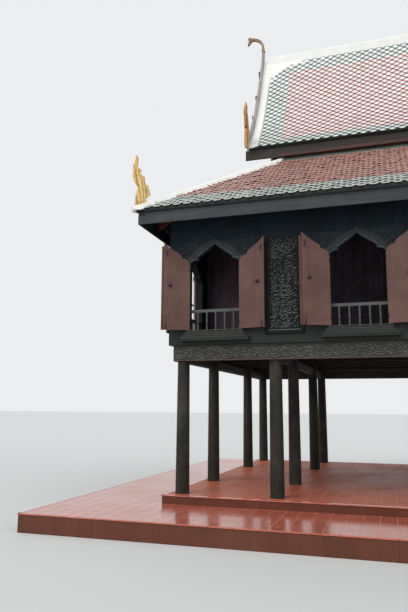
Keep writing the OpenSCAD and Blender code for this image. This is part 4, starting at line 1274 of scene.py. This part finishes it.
def roof_tile(looks):
    """One lozenge tile up the slope: its tip at the origin, a ridge down its middle, a rim and an edge."""
    half, row = half_tile(looks), looks.row
    deselect()
    bpy.ops.mesh.primitive_plane_add(size=1, location=(0, 0, 0))
    piece = bpy.context.object
    size = Matrix.Diagonal((2 * half, row * 1.3, 1, 1))
    piece.data.transform(Matrix.Translation((0, row * 1.65, 0)) @ size)
    bpy.ops.object.mode_set(mode="EDIT")
    pick(piece, "EDGE", lambda c: abs(c.x) < 0.01)
    bpy.ops.mesh.subdivide(number_cuts=1)
    pick(piece, "VERT", lambda c: abs(c.x) < 0.01 and c.y < row * 1.2)
    bpy.ops.transform.translate(value=(0, -row, 0.006))
    pick(piece, "VERT", lambda c: abs(c.x) < 0.01 and c.y > row * 1.2)
    bpy.ops.transform.translate(value=(0, 0, 0.006))
    pick(piece, "FACE", lambda c: True)
    bpy.ops.mesh.inset(thickness=looks.rim, depth=looks.belly)
    pick(piece, "EDGE", lambda c: abs(abs(c.x) * row / half - c.y) < 1e-4 or abs(c.x) > half - 1e-4)
    bpy.ops.mesh.extrude_region_move(
        TRANSFORM_OT_translate={"value": (0, 0, -looks.edge), "orient_type": "GLOBAL"}
    )
    points, faces = take(piece)
    points[:, 2] += looks.lift - points[:, 1] * tile_fall(looks)
    return points, faces


def tile_rows(length, looks):
    """How many rows cover a slope."""
    return int((length + PAST_EAVE) / looks.row)


def tile_row(r, reach, looks):
    """The places of the tiles of a row, as (x, y), moved half a tile in every other row."""
    columns = int(reach / looks.width) + 1
    y = r * looks.row - PAST_EAVE
    return [((c + (r % 2) / 2) * looks.width, y) for c in range(-columns, columns + 1)]


def glaze_values(tile, tint, copy, looks, rng):
    """What the glaze reads at each point: the tint and tone of its tile, and its place on it. The place is 1
    across at the side corners, up from the tip in rows, and 1 where it has fallen to the foot of the side."""
    points, count = tile[0], len(tint)
    above = points[:, 2] - looks.lift + points[:, 1] * tile_fall(looks)
    on_tile = {"across": points[:, 0] / half_tile(looks), "up": points[:, 1] / looks.row,
               "fall": above < -looks.edge / 2}
    values = {"tint": np.array(tint)[copy], "tone": rng.random(count)[copy]}
    values.update({label: np.tile(value, count) for label, value in on_tile.items()})
    return values


def lay_battens(*slopes):
    """Gives slopes the dark timber that shows between their tiles."""
    dress(wood("batten_timber", ink(26, 26, 28), "x", 0.8, 0.5), *slopes)


class HOUSE_OT_lower_tiles(bpy.types.Operator):
    """Lays lozenge tiles on the four slopes of the lower roof"""

    bl_idname = "house.lower_tiles"
    bl_label = "Lower roof tiles"

    def execute(self, context):
        looks = context.scene.house_roof
        # The rims are pale with a painted sky reflection; the sides and the near-black corner gaps are
        # painted shade and shadow.
        glaze = finish_of("lower_glaze", glazed_tile, (looks.lower_red, looks.lower_green),
                          (looks.lower_red_rim_sheen, looks.lower_green_rim_sheen), (looks.red_side_shade, looks.green_side_shade),
                          ink(10, 8, 8), 0.19, 1.0, 0.15, 0.3)
        tile = roof_tile(looks)
        rng = np.random.default_rng(11)
        slopes = ["lower_roof_" + side for side in ("front", "right", "back", "left")]
        lay_battens(*slopes)
        for turn, node in enumerate(slopes):
            self.slope(node, quarter(turn), tile, looks, glaze, rng)
        return {"FINISHED"}

    def slope(self, node, spin, tile, looks, glaze, rng):
        """Tiles in rows up one slope, cut along both hips."""
        back = np.array(spin.inverted())[:3, :3]
        co = np.array([v.co for v in nodes[node].data.vertices]) @ back.T
        drip_y, top_y = co[:, 1].min(), co[:, 1].max()
        drip_z = co[np.abs(co[:, 1] - drip_y) < 1e-4, 2].max()
        top_z = co[:, 2].max()
        foot_x, head_x = np.abs(co[:, 0]).max(), np.abs(co[np.abs(co[:, 1] - top_y) < 1e-4, 0]).max()
        length = math.hypot(top_y - drip_y, top_z - drip_z)
        tilt = math.atan2(top_z - drip_z, top_y - drip_y)
        lie = spin @ Matrix.Translation((0, drip_y, drip_z)) @ Matrix.Rotation(tilt, 4, "X")
        places, tint = [], []
        for r in range(tile_rows(length, looks)):
            up = max(0, r * looks.row - PAST_EAVE)
            reach = foot_x + (head_x - foot_x) * up / length + looks.width
            for x, y in tile_row(r, reach, looks):
                askew = Matrix.Rotation(rng.normal(0, 0.03), 4, "Z")
                askew = askew @ Matrix.Rotation(rng.normal(0, 0.025), 4, "X")
                places.append(lie @ Matrix.Translation((x, y, rng.normal(0, 0.0025))) @ askew)
                tint.append(1.0 if r < looks.lower_rows else 0.0)
        points, faces, copy = spread(tile, places)
        values = glaze_values(tile, tint, copy, looks, rng)
        piece = build(node + "_tiles", points, faces, glaze, "lower_tiles", values)
        for side in (-1, 1):
            along = Vector(((foot_x - head_x) * -side, top_y - drip_y, 0))
            normal = Vector((along.y * side, -along.x * side, 0)).normalized()
            clip(piece, spin @ Vector((foot_x * side, drip_y, 0)), spin.to_3x3() @ normal)
        clip(piece, spin @ Vector((0, top_y - UNDER_FILLET, 0)), spin.to_3x3() @ Vector((0, 1, 0)))


class HOUSE_OT_upper_tiles(bpy.types.Operator):
    """Lays lozenge tiles on both swept slopes of the upper roof"""

    bl_idname = "house.upper_tiles"
    bl_label = "Upper roof tiles"

    def execute(self, context):
        looks = context.scene.house_roof
        # The faces are near white with a painted sky reflection; the sides and corner gaps are painted shade
        # and shadow.
        glaze = finish_of("upper_glaze", glazed_tile, (looks.upper_red_sky_sheen, looks.upper_green_sky_sheen),
                          (looks.upper_red_rim, looks.upper_green_rim), (looks.red_side_shade, looks.green_side_shade),
                          looks.gap, 0.44, 0.25, 0.4, 0.5)
        lay_battens("upper_roof_front", "upper_roof_back")
        tile = roof_tile(looks)
        rng = np.random.default_rng(13)
        line = swept_line("upper_roof_front")
        run = np.r_[0, np.cumsum(np.hypot(*np.diff(line, axis=0).T))]
        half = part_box("upper_roof_front")[1].x - band_width() + UNDER_VERGE
        rows = tile_rows(run[-1] - UNDER_RIDGE, looks)
        places, tint = [], []
        for r in range(rows):
            for x, y in tile_row(r, half, looks):
                if under_corner(x, np.interp(y, run, line[:, 1])):
                    continue
                green = half - abs(x) < looks.border or not looks.green_rows <= r < rows - RIDGE_ROWS
                places.append(Matrix.Translation((x, y, 0)) @ Matrix.Rotation(rng.normal(0, 0.01), 4, "Z"))
                tint.append(1.0 if green else 0.0)
        points, faces, copy = spread(tile, places)
        tilt = np.arctan2(np.gradient(line[:, 1]), np.gradient(line[:, 0]))
        past = np.minimum(points[:, 1], 0)
        y = np.interp(points[:, 1], run, line[:, 0]) + past * math.cos(tilt[0])
        z = np.interp(points[:, 1], run, line[:, 1]) + past * math.sin(tilt[0])
        lean = np.interp(points[:, 1], run, tilt)
        laid = np.c_[points[:, 0], y - points[:, 2] * np.sin(lean), z + points[:, 2] * np.cos(lean)]
        for name, sign in (("upper_roof_front", 1), ("upper_roof_back", -1)):
            values = glaze_values(tile, tint, copy, looks, rng)
            piece = build(name + "_tiles", laid * (sign, sign, 1), faces, glaze, "upper_tiles", values)
            for side in (-1, 1):
                clip(piece, (half * side, 0, 0), (side, 0, 0))
        return {"FINISHED"}


def swept_line(node):
    """The upper face of a swept slope in section, from the eave to the ridge, as (y, z): the points that have
    no other point just above them."""
    co = np.array([v.co for v in nodes[node].data.vertices])
    pairs = np.unique(np.round(co[:, 1:], 4), axis=0)
    under = [any(-0.046 < q[0] - p[0] < 0.001 and 0.012 < q[1] - p[1] < 0.2 for q in pairs) for p in pairs]
    return pairs[~np.array(under)]


def band_width():
    """Width along X of a verge band, below its plaster corner."""
    co = np.array([v.co for v in nodes["verge_caps"].data.vertices])
    right = co[(co[:, 0] > 0) & (co[:, 2] < 9), 0]
    return right.max() - right.min()


def under_corner(x, z):
    """Whether a tile lies wholly under the plaster corner between a verge and the ridge."""
    inner = abs(x) - 0.06
    a, b = max(0, CORNER_X - inner) / CORNER_ALONG, max(0, CORNER_Z - z) / CORNER_DOWN
    return a < 1 and b < 1 and (1 - a) ** 2 + (1 - b) ** 2 > 1


# Stucco, gilding and bargeboards


class HOUSE_OT_ridges(bpy.types.Operator):
    """Finishes the stucco ridges, the fillet, the bargeboards and the gilded finials"""

    bl_idname = "house.ridges"
    bl_label = "Ridges and finials"

    def execute(self, context):
        looks, gold = context.scene.house_roof, context.scene.house_finials
        dress(finish_of("fillet_mortar", stucco, looks.mortar, ink(66, 72, 64)), "roof_flashing")
        white = finish_of("stucco", stucco, looks.stucco, ink(200, 199, 190), 0.2)
        gilt = finish_of("gilding", gilding, gold.gold, gold.rubbed)
        # The eave finials take a darker copy of the gilding as painted shade.
        shaded_gold = finish_of("aged_gilding", gilding, gold.shaded_gold, ink(118, 76, 46))
        tarnished = finish_of("tarnished_gilding", gilding, gold.horn, ink(92, 68, 48))
        for name, width, finish, slot in (
            ("hip_ridges", 0.008, white, "stucco"),
            ("verge_caps", 0.012, white, "stucco"),
            ("ridge_cap", 0.02, white, "stucco"),
            ("hip_finials", 0.011, gilt, "gilding"),
            ("eave_finials", 0.011, shaded_gold, "gilding"),
            ("apex_finials", 0.014, tarnished, "gilding"),
        ):
            softened(name, width, finish, 2)
        barge = wood("barge_timber", gold.barge, "z", 0.7, 0.5, ink(96, 92, 88), 0.5)
        softened("bargeboards", 0.006, barge)
        # The strokes are a lighter gold than their finials: a painted highlight on the raised strokes.
        self.flame_strokes("hip_finials", finish_of("bright_gilding", gilding, ink(252, 228, 170), gold.gold))
        self.flame_strokes("eave_finials", finish_of("eave_gilding", gilding, ink(222, 178, 120), gold.shaded_gold))
        return {"FINISHED"}

    def outline_at(self, points, flat, edges, level):
        """The two sides of a finial's outline at a height."""
        a, b = points[edges[:, 0], 2], points[edges[:, 1], 2]
        cut = (a - level) * (b - level) < 0
        if not cut.any():
            return 0.0, 0.0
        share = ((level - a) / np.where(b == a, 1, b - a))[cut]
        across = flat[edges[cut, 0], 0] * (1 - share) + flat[edges[cut, 1], 0] * share
        return across.min(), across.max()

    def flame_strokes(self, node, finish):
        """Raised flame strokes on both faces of each finial of a node."""
        mesh = nodes[node].data
        points = np.array([v.co for v in mesh.vertices])
        ends = np.array([e.vertices for e in mesh.edges])
        places = []
        for sx, sy in ((-1, -1), (-1, 1), (1, -1), (1, 1)):
            own = (points[:, 0] * sx > 0) & (points[:, 1] * sy > 0)
            places += self.stroke_places(points, own, ends[own[ends].all(axis=1)])
        strokes, faces, _ = spread(carved_leaf(1.0, 1.0, 0.12, 5), places)
        build(node[:-1] + "_strokes", strokes, faces, finish, "gilding", smooth=True)

    def stroke_places(self, points, own, edges):
        """Places of strokes in rows up one finial, each as long as stays inside the outline."""
        places = []
        middle = points[own].mean(axis=0)
        axes = np.linalg.svd(points[own][:, :2] - middle[:2], full_matrices=False)[2]
        flat = (points[:, :2] - middle[:2]) @ axes.T
        thick = np.abs(flat[own, 1]).max()
        standing = Matrix(((axes[0, 0], 0, axes[1, 0], middle[0]), (axes[0, 1], 0, axes[1, 1], middle[1]),
                           (0, 1, 0, 0), (0, 0, 0, 1)))
        low, high = points[own, 2].min(), points[own, 2].max()
        for level in np.arange(low + 0.1, high - 0.12, 0.085):
            left, right = self.outline_at(points, flat, edges, level)
            for spot, lean in ((0.28, 8), (0.52, 0), (0.76, -8)):
                start = left + (right - left) * spot
                for length in (0.13, 0.08, 0.05):
                    tip = start - length * math.sin(math.radians(lean))
                    near, far = self.outline_at(points, flat, edges, level + length)
                    if near + 0.012 < tip < far - 0.012:
                        break
                else:
                    continue
                turn = Matrix.Rotation(math.radians(90 + lean), 4, "Z")
                size = Matrix.Diagonal((length, max(0.012, (right - left) * 0.16), 0.016, 1))
                for face in (-1, 1):
                    at = Matrix.Translation((start, level, face * (thick - 0.003)))
                    places.append(standing @ at @ turn @ size)
        return places


# Shutters


class HOUSE_OT_shutters(bpy.types.Operator):
    """Paints the leaves and gives them knobs, bolts and hinges"""

    bl_idname = "house.shutters"
    bl_label = "Shutters"

    def execute(self, context):
        looks = context.scene.house_shutters
        paint = wood("shutter_paint", looks.paint, "z", 0.6, 0.25, looks.dust, 0.5, depth=0.003)
        for name in ("left_shutters", "right_shutters"):
            softened(name, 0.004, paint)
        self.fittings(looks.knob, finish_of("iron", iron, looks.iron))
        return {"FINISHED"}

    def fittings(self, knob, finish):
        """A knob and two bolts on the side of a leaf that shows, and its hinge knuckles."""
        face = Matrix.Translation((0, 0.017, 0)) @ Matrix.Rotation(-math.pi / 2, 4, "X")
        parts = []

        def fix(template, x, z, turn=0.0):
            at = face @ Matrix.Translation((x, -z, 0)) @ Matrix.Rotation(turn, 4, "Z")
            parts.append(moved(template, at))

        profile = ((0, 2.1), (0.55, 2.05), (0.92, 1.75), (1, 1.35), (0.85, 0.9), (0.45, 0.6), (0.4, 0.3),
                   (1.15, 0.16), (1.2, 0))
        fix(turned([(radius * knob, height * knob) for radius, height in profile]), 0.367, 0.87)
        plate = block((0.024, 0.12, 0.004), 0.0015, (0, 0, 0.002))
        rod = tube([(0, -0.062, 0.011), (0, 0.055, 0.011)], 0.006, 8)
        staple = block((0.022, 0.01, 0.018), 0.003, (0, 0, 0.009))
        grip = turned([(0, 0.03), (0.006, 0.029), (0.007, 0.022), (0.004, 0.016), (0.004, 0.01)], 10)
        for x, z, up in ((0.445, 0.075, 0.0), (0.44, 1.5, math.pi)):
            for template in (plate, rod, grip):
                fix(template, x, z, up)
            for shift in (-0.045, 0.04):
                fix(staple, x, z + shift)
        barrel = tube([(0, -0.035, -0.017), (0, 0.035, -0.017)], 0.0205, 12)
        for z in (0.14, 1.18):
            fix(barrel, 0, z)
        points, faces, _ = spread(gather(*parts), leaf_places())
        build("shutter_fittings", points, faces, finish, "dark_timber", smooth=True)


# Stage


class HOUSE_OT_stage(bpy.types.Operator):
    """Sets the floor, the soft light and the camera"""

    bl_idname = "house.stage"
    bl_label = "Stage"

    def execute(self, context):
        looks = context.scene.house_stage
        deselect()
        bpy.ops.mesh.primitive_plane_add(size=looks.size, location=(0, 0, -0.002))
        floor = context.object
        floor.name = "studio_floor"
        material, _, shader = surface("studio_floor", 0.9)
        shader.inputs["Base Color"].default_value = looks.floor
        floor.data.materials.append(material)
        self.light(context)
        self.camera(context)
        return {"FINISHED"}

    def light(self, context):
        """A pale world that lights the house more softly than it shows, and two wide lamps."""
        world = bpy.data.worlds.new("studio")
        world.use_nodes = True
        tree = world.node_tree
        tree.nodes.clear()
        output = add(tree, "ShaderNodeOutputWorld")
        seen = add(tree, "ShaderNodeBackground", in_Color=(0.84, 0.85, 0.86, 1), in_Strength=1.0)
        lit = add(tree, "ShaderNodeBackground", in_Color=(0.93, 0.97, 1.0, 1), in_Strength=0.72)
        either = add(tree, "ShaderNodeMixShader")
        path = add(tree, "ShaderNodeLightPath")
        shown = maths(tree, "MAXIMUM", path.outputs["Is Camera Ray"], path.outputs["Is Glossy Ray"])
        for source, socket in zip((shown, lit.outputs[0], seen.outputs[0]), either.inputs):
            tree.links.new(source, socket)
        tree.links.new(either.outputs[0], output.inputs[0])
        context.scene.world = world
        for name, turn, strength, width in (
            ("key_light", (50, 0, -35), 1.3, 40), ("fill_light", (65, 0, 60), 0.5, 60)
        ):
            lamp = bpy.data.lights.new(name, "SUN")
            lamp.energy = strength
            lamp.angle = math.radians(width)
            new_object(name, lamp).rotation_euler = [math.radians(a) for a in turn]

    def camera(self, context):
        """The photograph's view."""
        lens = bpy.data.cameras.new("camera")
        lens.lens = CAMERA_LENS
        lens.sensor_width = CAMERA_SENSOR
        lens.sensor_height = CAMERA_SENSOR
        lens.clip_end = 500
        ahead = Vector((
            -math.sin(CAMERA_YAW) * math.cos(CAMERA_PITCH),
            math.cos(CAMERA_YAW) * math.cos(CAMERA_PITCH),
            math.sin(CAMERA_PITCH),
        ))
        right = Vector((math.cos(CAMERA_YAW), math.sin(CAMERA_YAW), 0))
        up = right.cross(ahead)
        side = math.cos(CAMERA_ROLL) * right + math.sin(CAMERA_ROLL) * up
        over = -math.sin(CAMERA_ROLL) * right + math.cos(CAMERA_ROLL) * up
        turn = Matrix((side, over, -ahead)).transposed()
        holder = new_object("camera", lens)
        holder.matrix_world = Matrix.Translation(CAMERA_AT) @ turn.to_4x4()
        context.scene.camera = holder
        context.scene.view_settings.view_transform = "Standard"


STEPS = (
    HOUSE_OT_paving,
    HOUSE_OT_timber,
    HOUSE_OT_carving,
    HOUSE_OT_lower_tiles,
    HOUSE_OT_upper_tiles,
    HOUSE_OT_ridges,
    HOUSE_OT_shutters,
    HOUSE_OT_stage,
)


class HOUSE_PT_panel(bpy.types.Panel):
    """Lists the steps that finish the house"""

    bl_idname = "HOUSE_PT_panel"
    bl_label = "Stilt house"
    bl_space_type = "VIEW_3D"
    bl_region_type = "UI"
    bl_category = "House"

    def draw(self, context):
        for step in STEPS:
            self.layout.operator(step.bl_idname)


def register():
    for kind in (*LOOKS.values(), *STEPS, HOUSE_PT_panel):
        bpy.utils.register_class(kind)
    for name, group in LOOKS.items():
        setattr(bpy.types.Scene, name, PointerProperty(type=group))


def unregister():
    for name in LOOKS:
        delattr(bpy.types.Scene, name)
    for kind in (HOUSE_PT_panel, *reversed(STEPS), *reversed(LOOKS.values())):
        bpy.utils.unregister_class(kind)


def main():
    register()
    bpy.ops.house.paving()
    bpy.ops.house.timber()
    bpy.ops.house.carving()
    bpy.ops.house.lower_tiles()
    bpy.ops.house.upper_tiles()
    bpy.ops.house.ridges()
    bpy.ops.house.shutters()
    bpy.ops.house.stage()


if __name__ == "__main__":
    main()
